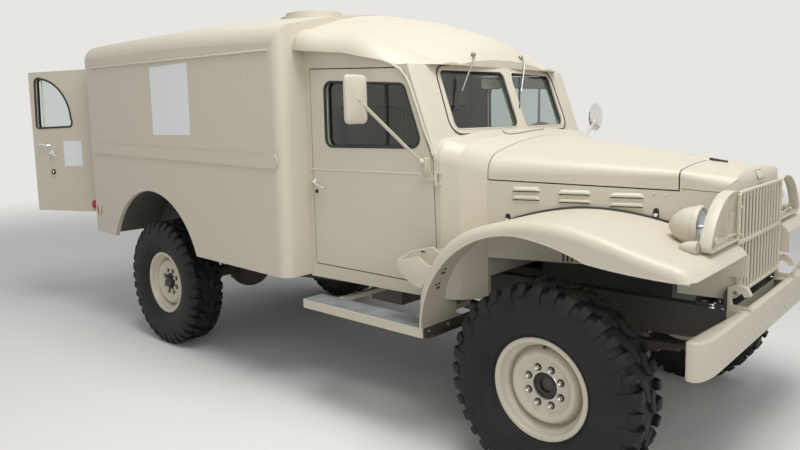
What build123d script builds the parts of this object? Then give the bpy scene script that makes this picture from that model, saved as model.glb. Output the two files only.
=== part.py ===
from build123d import *
import os
from math import atan2, cos, radians, sin

# Military ambulance truck with four driven wheels, in millimetres.
# +X points forward, +Y to the left and +Z up. The origin is on the ground, under the middle of the outline.

os.makedirs("parts", exist_ok=True)

# Running gear
front_axle_x = 2030
wheelbase = 3073
track = 1645
tyre_radius = 445
tyre_width = 255
rim_flange_radius = 221
bead_radius = 203
rim_half_width = 92
hub_bore_radius = 32
running_clearance = 0.05
door_gap = 6
sheet = 5
seat_gap = 0.3


def aft(distance):
    """X of a station that lies this far behind the front axle."""
    return front_axle_x - distance


rear_axle_x = aft(wheelbase)
wheel_y = track / 2

# Frame
rail_outer_y = 385
rail_width = 62
rail_thickness = 8
rail_top_z = 765
rail_depth = 150
frame_front_x = aft(-625)
frame_rear_x = aft(3900)

# Body
cab_rear_half_width = 800
cab_front_half_width = 752
cab_wall = 52
body_half_width = 985
body_wall = 30
body_front_x = aft(1565)
body_rear_x = aft(3950)
body_corner_radius = 70
floor_top_z = 830
floor_thickness = 30
line_rise = 0.02
sill_z = 700
cab_sill_z = 690
belt_low_z = 1318
belt_height = 78
belt_proud = 8
drip_z = 1968

# Cab doors
door_front_x = aft(665)
door_rear_x = aft(1520)
door_bottom_z = 772
door_top_z = 1862
door_window_bottom_z = 1437
door_window_top_z = 1790

# Rear doors
rear_door_hinge_y = 830
rear_door_thickness = 38
rear_door_bottom_z = 868
rear_door_top_z = 2036
rear_door_open = 112

# Hood and nose
hood_rear_x = aft(470)
hood_front_x = aft(-360)
nose_front_x = aft(-580)
hood_rear_half_width = 600
hood_front_half_width = 362
nose_half_width = 338
hood_rear_seam_z = 1281
hood_front_seam_z = 1250
hood_rear_crown_z = 1475
hood_front_crown_z = 1357
nose_crown_z = 1332
hood_rear_rise = 24
hood_front_rise = 53
nose_rise = 15
hood_rear_shoulder = 105
hood_front_shoulder = 33
nose_shoulder = 60
hinge_gap = 6


def lifted(z, x):
    """Height of a body line that climbs gently towards the rear."""
    return z + line_rise * (body_front_x - x)


def place_between(x, first_x, last_x, first, last):
    """Value on the straight line between two stations."""
    return first + (last - first) * (x - first_x) / (last_x - first_x)


# Frame: two channel rails and their cross members
rail_outline = [
    (frame_rear_x, rail_top_z - rail_depth),
    (frame_rear_x, rail_top_z),
    (aft(-200), rail_top_z),
    (frame_front_x, rail_top_z),
    (frame_front_x, rail_top_z - 95),
    (aft(-330), rail_top_z - rail_depth),
]
cross_member_places = [aft(3850), aft(3150), aft(2450), aft(1750), aft(1050), aft(-540)]
hook_outline = [
    (-75, 0), (-75, 18), (-40, 20), (-46, 62), (-30, 96), (6, 112), (44, 100), (60, 70), (36, 62), (24, 80)
]
hook_outline += [(4, 88), (-12, 78), (-20, 56), (-14, 20), (60, 18), (60, 10), (24, 10), (24, 0)]
with BuildPart() as frame:
    with BuildSketch(Plane.XZ.offset(rail_outer_y - rail_width)) as rail_face:
        with BuildLine():
            Polyline(*rail_outline, close=True)
        make_face()
    extrude(amount=rail_width)
    with BuildSketch(Plane.XZ.offset(rail_outer_y - rail_width)):
        add(rail_face.sketch_local)
        offset(amount=-rail_thickness, mode=Mode.REPLACE)
    extrude(amount=rail_width - rail_thickness, mode=Mode.SUBTRACT)
    mirror(about=Plane.XZ)
    for cross_x in cross_member_places:
        with BuildSketch(Plane.XZ.offset(-(rail_outer_y - rail_thickness))):
            with Locations((cross_x, rail_top_z - 60)):
                Rectangle(70, 104)
        extrude(amount=2 * (rail_outer_y - rail_thickness))
        with BuildSketch(Plane.XZ.offset(-(rail_outer_y - rail_width - 1))):
            with Locations((cross_x - 6, rail_top_z - 60)):
                Rectangle(70, 88)
        extrude(amount=2 * (rail_outer_y - rail_width - 1), mode=Mode.SUBTRACT)
    for side in (-1, 1):
        hook_y = side * (rail_outer_y - 20)
        with BuildSketch(Plane.XZ.offset(-hook_y - 15)):
            with BuildLine():
                Polyline(*[(aft(-598) + x, rail_top_z + z) for x, z in hook_outline], close=True)
            make_face()
        extrude(amount=30)
frame.part.label = "frame"
export_step(frame.part, "parts/frame.step")

# Front bumper: a channel with swept-back ends, bolted to the frame horns
bumper_face_x = aft(-665)
bumper_half_width = 900
bumper_bottom_z = 622
bumper_height = 152
bumper_thickness = 6
with BuildPart() as front_bumper:
    with BuildSketch(Plane.XY.offset(bumper_bottom_z)):
        with BuildLine():
            Polyline(
                (frame_front_x, -bumper_half_width + 40),
                (bumper_face_x - 52, -bumper_half_width),
                (bumper_face_x - 22, -bumper_half_width),
                (bumper_face_x, -bumper_half_width + 110),
                (bumper_face_x, bumper_half_width - 110),
                (bumper_face_x - 22, bumper_half_width),
                (bumper_face_x - 52, bumper_half_width),
                (frame_front_x, bumper_half_width - 40),
                close=True,
            )
        make_face()
    extrude(amount=bumper_height)
    with BuildSketch(Plane.XY.offset(bumper_bottom_z + bumper_thickness)):
        with Locations((frame_front_x - 5, 0)):
            Rectangle(2 * (bumper_face_x - frame_front_x - bumper_thickness) + 10, 2 * bumper_half_width - 60)
    extrude(amount=bumper_height - 2 * bumper_thickness, mode=Mode.SUBTRACT)
    for side in (-1, 1):
        with Locations(
            ((frame_front_x + bumper_face_x - bumper_thickness) / 2, side * (rail_outer_y - 31), 717)
        ):
            Box(bumper_face_x - bumper_thickness - frame_front_x, rail_width, 95)
front_bumper.part.label = "front_bumper"
export_step(front_bumper.part, "parts/front_bumper.step")

# Tyres and rims, four on the road and one spare
# Wheel columns: name, centre X, centre Y, centre Z, side that faces out
spare_x = aft(2120)
spare_z = 1180
spare_y = 800
wheel_places = [
    ("front_right", front_axle_x, -wheel_y, tyre_radius, -1),
    ("front_left", front_axle_x, wheel_y, tyre_radius, 1),
    ("rear_right", rear_axle_x, -wheel_y, tyre_radius, -1),
    ("rear_left", rear_axle_x, wheel_y, tyre_radius, 1),
    ("spare", spare_x, spare_y, spare_z, 1),
]
sidewall_y = tyre_width / 2
tread_y = 98
shoulder_radius = tyre_radius - 26
carcass = 20
rim_seat_radius = bead_radius - seat_gap
well_radius = 184
rim_wall = 7
drum_radius = 165
hub_radius = 58
stud_circle_radius = 82.55
stud_count = 8
for wheel_name, centre_x, centre_y, centre_z, out in wheel_places:
    wheel_axis = Axis((centre_x, centre_y, centre_z), (0, 1, 0))
    wheel_plane = Plane(origin=(centre_x, centre_y, centre_z), x_dir=(0, out, 0), z_dir=(out, 0, 0))
    with BuildPart() as tyre:
        with BuildSketch(wheel_plane):
            with BuildLine():
                Polyline((-tread_y, tyre_radius), (tread_y, tyre_radius), (sidewall_y - 12, shoulder_radius))
                ThreePointArc(
                    (sidewall_y - 12, shoulder_radius), (sidewall_y, 330), (84.5, rim_flange_radius + 4)
                )
                Polyline((84.5, rim_flange_radius + 4), (84.5, bead_radius), (62, bead_radius))
                ThreePointArc((62, bead_radius), (sidewall_y - carcass, 325), (84, tyre_radius - 42))
                Line((84, tyre_radius - 42), (-84, tyre_radius - 42))
                ThreePointArc((-84, tyre_radius - 42), (-sidewall_y + carcass, 325), (-62, bead_radius))
                Polyline((-62, bead_radius), (-84.5, bead_radius), (-84.5, rim_flange_radius + 4))
                ThreePointArc(
                    (-84.5, rim_flange_radius + 4), (-sidewall_y, 330), (-sidewall_y + 12, shoulder_radius)
                )
                Line((-sidewall_y + 12, shoulder_radius), (-tread_y, tyre_radius))
            make_face()
        revolve(axis=wheel_axis)
    tyre.part.label = "tyre_" + wheel_name
    export_step(tyre.part, "parts/tyre_" + wheel_name + ".step")

    rim_outline = [
        (rim_half_width, rim_flange_radius - 8),
        (rim_half_width - 5, rim_flange_radius),
        (86, rim_flange_radius - 6),
        (85.5, rim_seat_radius),
        (58, rim_seat_radius),
        (40, well_radius),
        (-40, well_radius),
        (-58, rim_seat_radius),
        (-85.5, rim_seat_radius),
        (-86, rim_flange_radius - 6),
        (-rim_half_width + 5, rim_flange_radius),
        (-rim_half_width, rim_flange_radius - 8),
        (-rim_half_width, rim_seat_radius - rim_wall),
        (-60, rim_seat_radius - rim_wall),
        (-42, well_radius - rim_wall),
        (8, well_radius - rim_wall),
        (42, 150),
        (52, 128),
        (38, 108),
        (34, 62),
        (34, hub_bore_radius),
        (42, hub_bore_radius),
        (42, 62),
        (46, 106),
        (60, 124),
        (52, 152),
        (24, well_radius - rim_wall),
        (42, well_radius - rim_wall),
        (60, rim_seat_radius - rim_wall),
        (rim_half_width, rim_seat_radius - rim_wall),
    ]
    with BuildPart() as rim:
        with BuildSketch(wheel_plane):
            with BuildLine():
                Polyline(*rim_outline, close=True)
            make_face()
        revolve(axis=wheel_axis)
        if wheel_name != "spare":
            with BuildSketch(wheel_plane):
                with BuildLine():
                    Polyline(
                        (34, hub_bore_radius),
                        (34, 100),
                        (24, 100),
                        (24, hub_radius + 14),
                        (-12, hub_radius + 10),
                        (-20, drum_radius),
                        (-78, drum_radius),
                        (-78, drum_radius - 12),
                        (-28, drum_radius - 14),
                        (-34, hub_radius),
                        (-70, hub_radius),
                        (-70, hub_bore_radius),
                        close=True,
                    )
                make_face()
            revolve(axis=wheel_axis)
        with BuildSketch(
            Plane(origin=(centre_x, centre_y + out * 34, centre_z), x_dir=(1, 0, 0), z_dir=(0, out, 0))
        ):
            with PolarLocations(stud_circle_radius, stud_count):
                Circle(8)
        extrude(amount=32 if wheel_name != "spare" else 9)
    rim.part.label = "rim_" + wheel_name
    export_step(rim.part, "parts/rim_" + wheel_name + ".step")

# Front axle: tube, differential to the right of the middle, and a ball at each end for the knuckle
kingpin_y = 650
ball_radius = 62
axle_tube_radius = 44
differential_y = -180
differential_radius = 165
pin_radius = 19
with BuildPart() as front_axle:
    with BuildSketch(Plane.XZ.offset(-kingpin_y)):
        with Locations((front_axle_x, tyre_radius)):
            Circle(axle_tube_radius)
    extrude(amount=2 * kingpin_y)
    with Locations((front_axle_x, differential_y, tyre_radius)):
        Sphere(differential_radius)
    with BuildSketch(Plane.YZ.offset(front_axle_x - 260)):
        with Locations((differential_y, tyre_radius)):
            Circle(48)
    extrude(amount=200)
    for side in (-1, 1):
        with Locations((front_axle_x, side * kingpin_y, tyre_radius)):
            Sphere(ball_radius)
            Cylinder(pin_radius, 2 * ball_radius + 50)
front_axle.part.label = "front_axle"
export_step(front_axle.part, "parts/front_axle.step")

# Steering knuckles: a yoke round the ball, the brake plate and the wheel's spindle
spindle_end = 20
plate_y = 82
for side_name, side in (("right", -1), ("left", 1)):
    pivot = (front_axle_x, side * kingpin_y, tyre_radius)
    with BuildPart() as knuckle:
        yoke_reach = wheel_y - plate_y - 8 - kingpin_y
        for level in (-1, 1):
            with Locations(
                (front_axle_x, side * (kingpin_y + yoke_reach / 2 - 20), tyre_radius + level * (ball_radius + 17))
            ):
                Box(70, yoke_reach + 40, 22)
        with Locations((front_axle_x, side * (kingpin_y + yoke_reach - 2), tyre_radius)):
            Box(90, 12, 2 * ball_radius + 56)
        with Locations(
            Plane(origin=(front_axle_x, side * (wheel_y - plate_y - 8), tyre_radius), z_dir=(0, side, 0))
        ):
            Cylinder(drum_radius - 14, 8, align=(Align.CENTER, Align.CENTER, Align.MIN))
            Cylinder(
                hub_bore_radius - running_clearance,
                plate_y + spindle_end,
                align=(Align.CENTER, Align.CENTER, Align.MIN),
            )
        with Locations(pivot):
            Cylinder(pin_radius + running_clearance, 2 * ball_radius + 80, mode=Mode.SUBTRACT)
        with Locations((front_axle_x - 120, side * (kingpin_y + 10), tyre_radius - ball_radius - 17)):
            Box(190, 36, 22)
    knuckle.part.label = "knuckle_" + side_name
    export_step(knuckle.part, "parts/knuckle_" + side_name + ".step")

# Rear axle: tube, differential and the spindles that carry the wheels
with BuildPart() as rear_axle:
    with BuildSketch(Plane.XZ.offset(-(wheel_y - plate_y))):
        with Locations((rear_axle_x, tyre_radius)):
            Circle(axle_tube_radius)
    extrude(amount=2 * (wheel_y - plate_y))
    with BuildSketch(Plane.XZ.offset(-(wheel_y + spindle_end))):
        with Locations((rear_axle_x, tyre_radius)):
            Circle(hub_bore_radius - running_clearance)
    extrude(amount=2 * (wheel_y + spindle_end))
    with Locations((rear_axle_x, differential_y, tyre_radius)):
        Sphere(differential_radius)
    with BuildSketch(Plane.YZ.offset(rear_axle_x)):
        with Locations((differential_y, tyre_radius)):
            Circle(48)
    extrude(amount=260)
    for side in (-1, 1):
        with Locations(
            Plane(origin=(rear_axle_x, side * (wheel_y - plate_y - 8), tyre_radius), z_dir=(0, side, 0))
        ):
            Cylinder(drum_radius - 14, 8, align=(Align.CENTER, Align.CENTER, Align.MIN))
rear_axle.part.label = "rear_axle"
export_step(rear_axle.part, "parts/rear_axle.step")

# Leaf springs: four packs of curved leaves between the rails and the axles
leaf_thickness = 11
leaf_width = 56
spring_half_length = 560
spring_centre_z = tyre_radius + axle_tube_radius + 14
leaf_half_lengths = [560, 470, 380, 290, 200]
spring_radius = 3600
rail_bottom_z = rail_top_z - rail_depth
with BuildPart() as leaf_springs:
    for axle_x in (front_axle_x, rear_axle_x):
        arc_centre_z = spring_centre_z + spring_radius
        with BuildSketch(Plane.XZ.offset(rail_outer_y - rail_width / 2 - leaf_width / 2)):
            for leaf, half_length in enumerate(leaf_half_lengths):
                inner = spring_radius - leaf_thickness * (len(leaf_half_lengths) - leaf)
                outer = inner + leaf_thickness
                angle = half_length / spring_radius
                with BuildLine():
                    inner_ends = [
                        (axle_x + s * inner * sin(angle), arc_centre_z - inner * cos(angle)) for s in (-1, 1)
                    ]
                    outer_ends = [
                        (axle_x + s * outer * sin(angle), arc_centre_z - outer * cos(angle)) for s in (-1, 1)
                    ]
                    ThreePointArc(inner_ends[0], (axle_x, arc_centre_z - inner), inner_ends[1])
                    Line(inner_ends[1], outer_ends[1])
                    ThreePointArc(outer_ends[1], (axle_x, arc_centre_z - outer), outer_ends[0])
                    Line(outer_ends[0], inner_ends[0])
                make_face()
            under_radius = spring_radius - len(leaf_half_lengths) * leaf_thickness
            end_z = arc_centre_z - under_radius * cos(spring_half_length / spring_radius)
            for end in (-1, 1):
                with Locations((axle_x + end * (spring_half_length - 6), (end_z + rail_bottom_z) / 2)):
                    Rectangle(34, rail_bottom_z - end_z + 16)
            with Locations((axle_x, spring_centre_z - 8)):
                Rectangle(110, 18)
        extrude(amount=leaf_width)
    with BuildSketch(Plane.XZ.offset(rail_outer_y - rail_width)):
        with Locations((aft(wheelbase / 2), rail_bottom_z - 300)):
            Rectangle(9000, 600)
    extrude(amount=rail_width + 4, mode=Mode.INTERSECT)
    for axle_x in (front_axle_x, rear_axle_x):
        with BuildSketch(Plane.XZ.offset(-200)):
            with Locations((axle_x, tyre_radius)):
                Circle(axle_tube_radius)
        extrude(amount=700, mode=Mode.SUBTRACT)
        with Locations((axle_x, differential_y, tyre_radius)):
            Sphere(differential_radius, mode=Mode.SUBTRACT)
    mirror(about=Plane.XZ)
leaf_springs.part.label = "leaf_springs"
export_step(leaf_springs.part, "parts/leaf_springs.step")

# Engine, gearbox and the two propeller shafts, each case on a beam between the rails' webs
rail_web_y = rail_outer_y - rail_thickness - seat_gap
engine_rear_x = aft(420)
engine_front_x = aft(-265)
engine_low_z = 640
engine_height = 520
with BuildPart() as engine:
    with Locations(((engine_rear_x + engine_front_x) / 2, 0, engine_low_z + engine_height / 2)):
        Box(engine_front_x - engine_rear_x, 330, engine_height)
    with Locations((aft(-150), 0, 680)):
        Box(80, 2 * rail_web_y, 50)
engine.part.label = "engine"
export_step(engine.part, "parts/engine.step")

gearbox_rear_x = aft(950)
transfer_x = aft(1450)
shaft_radius = 32
with BuildPart() as driveline:
    with Locations(((engine_rear_x + gearbox_rear_x) / 2, 0, 640)):
        Box(engine_rear_x - gearbox_rear_x, 230, 220)
    with Locations((transfer_x, differential_y / 2, 545)):
        Box(260, 420, 210)
    with Locations((transfer_x, 0, 642)):
        Box(80, 2 * rail_web_y, 24)
    with BuildSketch(Plane.YZ.offset(gearbox_rear_x - 1)):
        with Locations((0, 600)):
            Circle(shaft_radius)
    extrude(amount=transfer_x + 130 - gearbox_rear_x + 1)
    for start_x, end_x in ((transfer_x + 125, front_axle_x - 266), (transfer_x - 125, rear_axle_x + 266)):
        start = Vector(start_x, differential_y, 530)
        end = Vector(end_x, differential_y, tyre_radius)
        with BuildSketch(Plane(origin=start, z_dir=end - start)):
            Circle(shaft_radius)
        extrude(amount=(end - start).length)
driveline.part.label = "driveline"
export_step(driveline.part, "parts/driveline.step")

# Radiator behind the grille guard
radiator_x = aft(-470)
with BuildPart() as radiator:
    with Locations((radiator_x, 0, 1020)):
        Box(60, 560, 420)
    with Locations((radiator_x, 0, rail_top_z + seat_gap)):
        Box(60, 2 * rail_outer_y - 20, 14, align=(Align.CENTER, Align.CENTER, Align.MIN))
    for side in (-1, 1):
        with Locations((radiator_x, side * 200, rail_top_z + seat_gap)):
            Box(40, 60, 60, align=(Align.CENTER, Align.CENTER, Align.MIN))
radiator.part.label = "radiator"
export_step(radiator.part, "parts/radiator.step")

# Exhaust: pipe from the engine, silencer under the cab and tail pipe
exhaust_y = 240
exhaust_z = 555
tail_pipe_x = aft(2400)
with BuildPart() as exhaust:
    with BuildLine(Plane.XY.offset(exhaust_z)) as exhaust_path:
        FilletPolyline(
            (aft(560), exhaust_y),
            (tail_pipe_x, exhaust_y),
            (tail_pipe_x, 900),
            radius=110,
        )
    with BuildSketch(Plane(origin=exhaust_path.line @ 0, z_dir=exhaust_path.line % 0)):
        Circle(24)
    sweep()
    with BuildSketch(Plane.YZ.offset(aft(2250))):
        with Locations((exhaust_y, exhaust_z)):
            Circle(70)
    extrude(amount=560)
    for hanger_x in (aft(1150), aft(1980)):
        with Locations((hanger_x, exhaust_y, exhaust_z)):
            Box(24, 6, rail_bottom_z - exhaust_z - seat_gap, align=(Align.CENTER, Align.CENTER, Align.MIN))
        with Locations((hanger_x, exhaust_y - 3, rail_bottom_z - seat_gap)):
            Box(24, 120, 6, align=(Align.CENTER, Align.MIN, Align.MAX))
exhaust.part.label = "exhaust"
export_step(exhaust.part, "parts/exhaust.step")

# Fuel tank between the rails behind the rear axle
with BuildPart() as fuel_tank:
    with Locations((aft(3510), 0, 635)):
        Box(560, 600, 230)
    fillet(fuel_tank.edges().filter_by(Axis.X), 40)
    for strap_x in (aft(3370), aft(3650)):
        with Locations((strap_x, 0, rail_top_z - rail_thickness - seat_gap)):
            Box(40, 2 * rail_web_y, 14, align=(Align.CENTER, Align.CENTER, Align.MAX))
fuel_tank.part.label = "fuel_tank"
export_step(fuel_tank.part, "parts/fuel_tank.step")

# Rear body walls: one rounded ring that the side panels, partition and rear frame are cut from
wall_low_z = 600
wall_high_z = 2400
arch_radius = 615
arch_centre_z = 500
rear_wall = 30
panel_split_y = 800
with BuildPart() as body_walls:
    with BuildSketch(Plane.XY.offset(wall_low_z)) as body_plan:
        with BuildLine():
            Polyline(
                (body_rear_x, -body_half_width),
                (body_front_x, -body_half_width),
                (body_front_x, body_half_width),
                (body_rear_x, body_half_width),
                close=True,
            )
        make_face()
        fillet(body_plan.vertices().sort_by(Axis.X)[-2:], body_corner_radius)
        offset(amount=-body_wall, mode=Mode.SUBTRACT)
    extrude(amount=wall_high_z - wall_low_z)
    with BuildSketch(Plane.XZ):
        with BuildLine():
            Polyline(
                (body_rear_x, lifted(sill_z, body_rear_x)),
                (body_rear_x, lifted(drip_z, body_rear_x)),
                (body_front_x, drip_z),
                (body_front_x, sill_z),
                close=True,
            )
        make_face()
    extrude(amount=body_half_width, both=True, mode=Mode.INTERSECT)

# Right side panel with wheel arch and belt moulding
belt_front_x = aft(1600)
with BuildPart() as body_side_right:
    add(body_walls.part)
    with Locations(
        ((body_rear_x + rear_wall + body_front_x) / 2, -(panel_split_y + body_half_width) / 2, 1500)
    ):
        Box(
            body_front_x - body_rear_x - rear_wall, body_half_width - panel_split_y, 2000, mode=Mode.INTERSECT
        )
    with BuildSketch(Plane.XZ.offset(panel_split_y)):
        with Locations((rear_axle_x, arch_centre_z)):
            Circle(arch_radius)
    extrude(amount=200, mode=Mode.SUBTRACT)
    with BuildSketch(Plane.XZ.offset(body_half_width)) as belt_face:
        with BuildLine():
            Polyline(
                (body_rear_x + rear_wall, lifted(belt_low_z, body_rear_x)),
                (body_rear_x + rear_wall, lifted(belt_low_z + belt_height, body_rear_x)),
                (belt_front_x, lifted(belt_low_z + belt_height, belt_front_x)),
                (belt_front_x, lifted(belt_low_z, belt_front_x)),
                close=True,
            )
        make_face()
        fillet(belt_face.vertices().sort_by(Axis.X)[-2:], 30)
    extrude(amount=belt_proud)
body_side_right.part.label = "body_side_right"
export_step(body_side_right.part, "parts/body_side_right.step")

# Left side panel: the same with the round-topped recess for the spare wheel
recess_radius = tyre_radius + 32
recess_depth = 345
recess_wall = 20
with BuildPart() as body_side_left:
    mirror(body_side_right.part, about=Plane.XZ)
    with BuildSketch(Plane.XZ.offset(-body_half_width - 20)):
        with Locations((spare_x, spare_z)):
            Circle(recess_radius)
        with Locations((spare_x, (spare_z + wall_low_z) / 2)):
            Rectangle(2 * recess_radius, spare_z - wall_low_z)
    extrude(amount=200, mode=Mode.SUBTRACT)
    with BuildSketch(Plane.XZ.offset(-(body_half_width - body_wall))):
        with Locations((spare_x, spare_z)):
            Circle(recess_radius + recess_wall)
        with Locations((spare_x, (spare_z + sill_z + 20) / 2)):
            Rectangle(2 * (recess_radius + recess_wall), spare_z - sill_z - 20)
    extrude(amount=recess_depth - body_wall)
    with BuildSketch(Plane.XZ.offset(-(body_half_width - body_wall))):
        with Locations((spare_x, spare_z)):
            Circle(recess_radius)
        with Locations((spare_x, (spare_z + wall_low_z) / 2)):
            Rectangle(2 * recess_radius, spare_z - wall_low_z)
    extrude(amount=recess_depth - body_wall - recess_wall, mode=Mode.SUBTRACT)
    carrier_y = body_half_width - recess_depth + recess_wall
    with Locations(Plane(origin=(spare_x, carrier_y, spare_z), z_dir=(0, 1, 0))):
        Cylinder(95, spare_y + 34 - carrier_y, align=(Align.CENTER, Align.CENTER, Align.MIN))
body_side_left.part.label = "body_side_left"
export_step(body_side_left.part, "parts/body_side_left.step")

# Partition behind the cab, with the walk-through opening
walkway_half_width = 330
walkway_top_z = 1780
with BuildPart() as partition:
    add(body_walls.part)
    with Locations((body_front_x - body_wall / 2, 0, 1500)):
        Box(body_wall, 2 * panel_split_y, 2000, mode=Mode.INTERSECT)
    with Locations((body_front_x - body_wall / 2, 0, (floor_top_z + walkway_top_z) / 2)):
        Box(body_wall + 20, 2 * walkway_half_width, walkway_top_z - floor_top_z, mode=Mode.SUBTRACT)
    with Locations((body_front_x - body_wall / 2, 0, floor_top_z - 300)):
        Box(body_wall + 20, 2 * panel_split_y, 600, mode=Mode.SUBTRACT)
partition.part.label = "partition"
export_step(partition.part, "parts/partition.step")

# Rear frame round the two rear doors
with BuildPart() as rear_frame:
    add(body_walls.part)
    with Locations((body_rear_x + rear_wall / 2, 0, 1500)):
        Box(rear_wall, 2 * body_half_width, 2000, mode=Mode.INTERSECT)
    with Locations((body_rear_x, 0, (rear_door_bottom_z + rear_door_top_z) / 2)):
        Box(
            4 * rear_wall,
            2 * rear_door_hinge_y,
            rear_door_top_z - rear_door_bottom_z,
            mode=Mode.SUBTRACT,
        )

# Floor with its sills on the rails, and the two wheel houses
house_wall = 10
house_inner_y = 620
floor_door_gap = 9
floor_sill_depth = 74
floor_low_z = floor_top_z - floor_thickness
firewall_thickness = 25
inner_body_y = body_half_width - body_wall


def cab_half_width(x):
    """Outer half width of the cab, which narrows towards the front."""
    return place_between(x, body_front_x, aft(640), cab_rear_half_width, cab_front_half_width)


with BuildPart() as floor:
    with BuildSketch(Plane.XY.offset(floor_low_z)) as floor_plan:
        with BuildLine():
            Polyline(
                (body_rear_x + rear_wall, -inner_body_y),
                (body_front_x - body_wall, -inner_body_y),
                (body_front_x - body_wall, inner_body_y),
                (body_rear_x + rear_wall, inner_body_y),
                close=True,
            )
        make_face()
        fillet(floor_plan.vertices().sort_by(Axis.X)[-2:], body_corner_radius - body_wall)
        with BuildLine():
            Polyline(
                (body_front_x - body_wall - 20, -panel_split_y + 60),
                (body_front_x, -cab_rear_half_width + cab_wall + floor_door_gap),
                (aft(640), -cab_front_half_width + cab_wall + floor_door_gap),
                (hood_rear_x - firewall_thickness, -hood_rear_half_width + cab_wall),
                (hood_rear_x - firewall_thickness, hood_rear_half_width - cab_wall),
                (aft(640), cab_front_half_width - cab_wall - floor_door_gap),
                (body_front_x, cab_rear_half_width - cab_wall - floor_door_gap),
                (body_front_x - body_wall - 20, panel_split_y - 60),
                close=True,
            )
        make_face()
    extrude(amount=floor_thickness)
    with BuildSketch(Plane.XY.offset(floor_low_z - floor_sill_depth)):
        for side in (-1, 1):
            with BuildLine():
                Polyline(
                    (body_front_x, side * (cab_rear_half_width - cab_wall - 1)),
                    (aft(650), side * (cab_half_width(aft(650)) - cab_wall - 1)),
                    (aft(650), side * (cab_half_width(aft(650)) - cab_wall - 60)),
                    (body_front_x, side * (cab_rear_half_width - cab_wall - 60)),
                    close=True,
                )
            make_face()
    extrude(amount=24)
    with BuildSketch(Plane.XY.offset(floor_low_z - floor_sill_depth + 23)):
        for side in (-1, 1):
            with BuildLine():
                Polyline(
                    (body_front_x, side * (cab_rear_half_width - cab_wall - floor_door_gap)),
                    (aft(650), side * (cab_half_width(aft(650)) - cab_wall - floor_door_gap)),
                    (aft(650), side * (cab_half_width(aft(650)) - cab_wall - 60)),
                    (body_front_x, side * (cab_rear_half_width - cab_wall - 60)),
                    close=True,
                )
            make_face()
    extrude(amount=floor_sill_depth - 22)
    for beam_x in (aft(3800), aft(3300), aft(2900), aft(2300), aft(1800), aft(1200)):
        with Locations((beam_x, 0, (rail_top_z + floor_low_z) / 2)):
            Box(60, 1300, floor_low_z - rail_top_z)
    for side in (-1, 1):
        with BuildSketch(Plane.XZ.offset(side * house_inner_y)):
            with Locations((rear_axle_x, arch_centre_z)):
                Circle(arch_radius + house_wall)
        extrude(amount=side * (inner_body_y - house_inner_y))
        with BuildSketch(Plane.XZ.offset(side * (house_inner_y + house_wall))):
            with Locations((rear_axle_x, arch_centre_z)):
                Circle(arch_radius)
        extrude(amount=side * (inner_body_y - house_inner_y), mode=Mode.SUBTRACT)
    with Locations((rear_axle_x, 0, 300)):
        Box(2000, 2200, 2 * (rail_top_z + 2 - 300), mode=Mode.SUBTRACT)
    with BuildSketch(Plane.XZ.offset(-inner_body_y)):
        with Locations((spare_x, 900)):
            Rectangle(2 * (recess_radius + recess_wall), 900)
    extrude(amount=recess_depth - body_wall, mode=Mode.SUBTRACT)
floor.part.label = "floor"
export_step(floor.part, "parts/floor.step")

# Deck: a flat board that covers the load space's floor between the benches
deck_half_width = 440
deck_front_x = aft(1700)
deck_rear_x = aft(3900)
deck_thickness = 8
with BuildPart() as load_deck:
    with Locations(((deck_front_x + deck_rear_x) / 2, 0, floor_top_z + seat_gap)):
        Box(
            deck_front_x - deck_rear_x,
            2 * deck_half_width,
            deck_thickness,
            align=(Align.CENTER, Align.CENTER, Align.MIN),
        )
load_deck.part.label = "load_deck"
export_step(load_deck.part, "parts/load_deck.step")

# Roof: a crowned body roof and a narrower cab roof that dips to the windshield, lofted through a few sections
roof_thickness = 26
# Section columns: distance behind the front axle, half width, shoulder Z, corner end Y, corner end Z, crown Z
body_roof_sections = [
    (3965, 985, 2045, 868, 2190, 2285),
    (2700, 985, 2022, 868, 2172, 2296),
    (1565, 985, 1985, 865, 2115, 2225),
]
cab_roof_sections = [
    (1565, 880, 1975, 760, 2085, 2225),
    (1400, 845, 1950, 725, 2060, 2185),
    (1180, 815, 1915, 660, 2025, 2130),
    (1000, 790, 1865, 600, 1955, 2072),
    (880, 740, 1815, 520, 1895, 2018),
    (815, 705, 1800, 470, 1872, 1962),
    (762, 670, 1790, 420, 1856, 1893),
]
section_base_z = 1700
roof_rear_x = aft(3965)


def roof_section(section, inset):
    """Closed outline of the roof at one station, shrunk by the inset."""
    distance, half_width, shoulder_z, corner_y, corner_z, crown_z = section
    wide = half_width - inset
    narrow = corner_y - inset / 2
    with BuildSketch(Plane.YZ.offset(aft(distance))) as outline:
        with BuildLine():
            Line((-wide, section_base_z), (wide, section_base_z))
            Line((wide, section_base_z), (wide, shoulder_z))
            bulge = (wide * 0.72 + narrow * 0.28, (shoulder_z * 0.28 + corner_z * 0.72) - inset)
            ThreePointArc((wide, shoulder_z), bulge, (narrow, corner_z - inset))
            ThreePointArc((narrow, corner_z - inset), (0, crown_z - inset), (-narrow, corner_z - inset))
            ThreePointArc((-narrow, corner_z - inset), (-bulge[0], bulge[1]), (-wide, shoulder_z))
            Line((-wide, shoulder_z), (-wide, section_base_z))
        make_face()
    return outline.sketch


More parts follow.
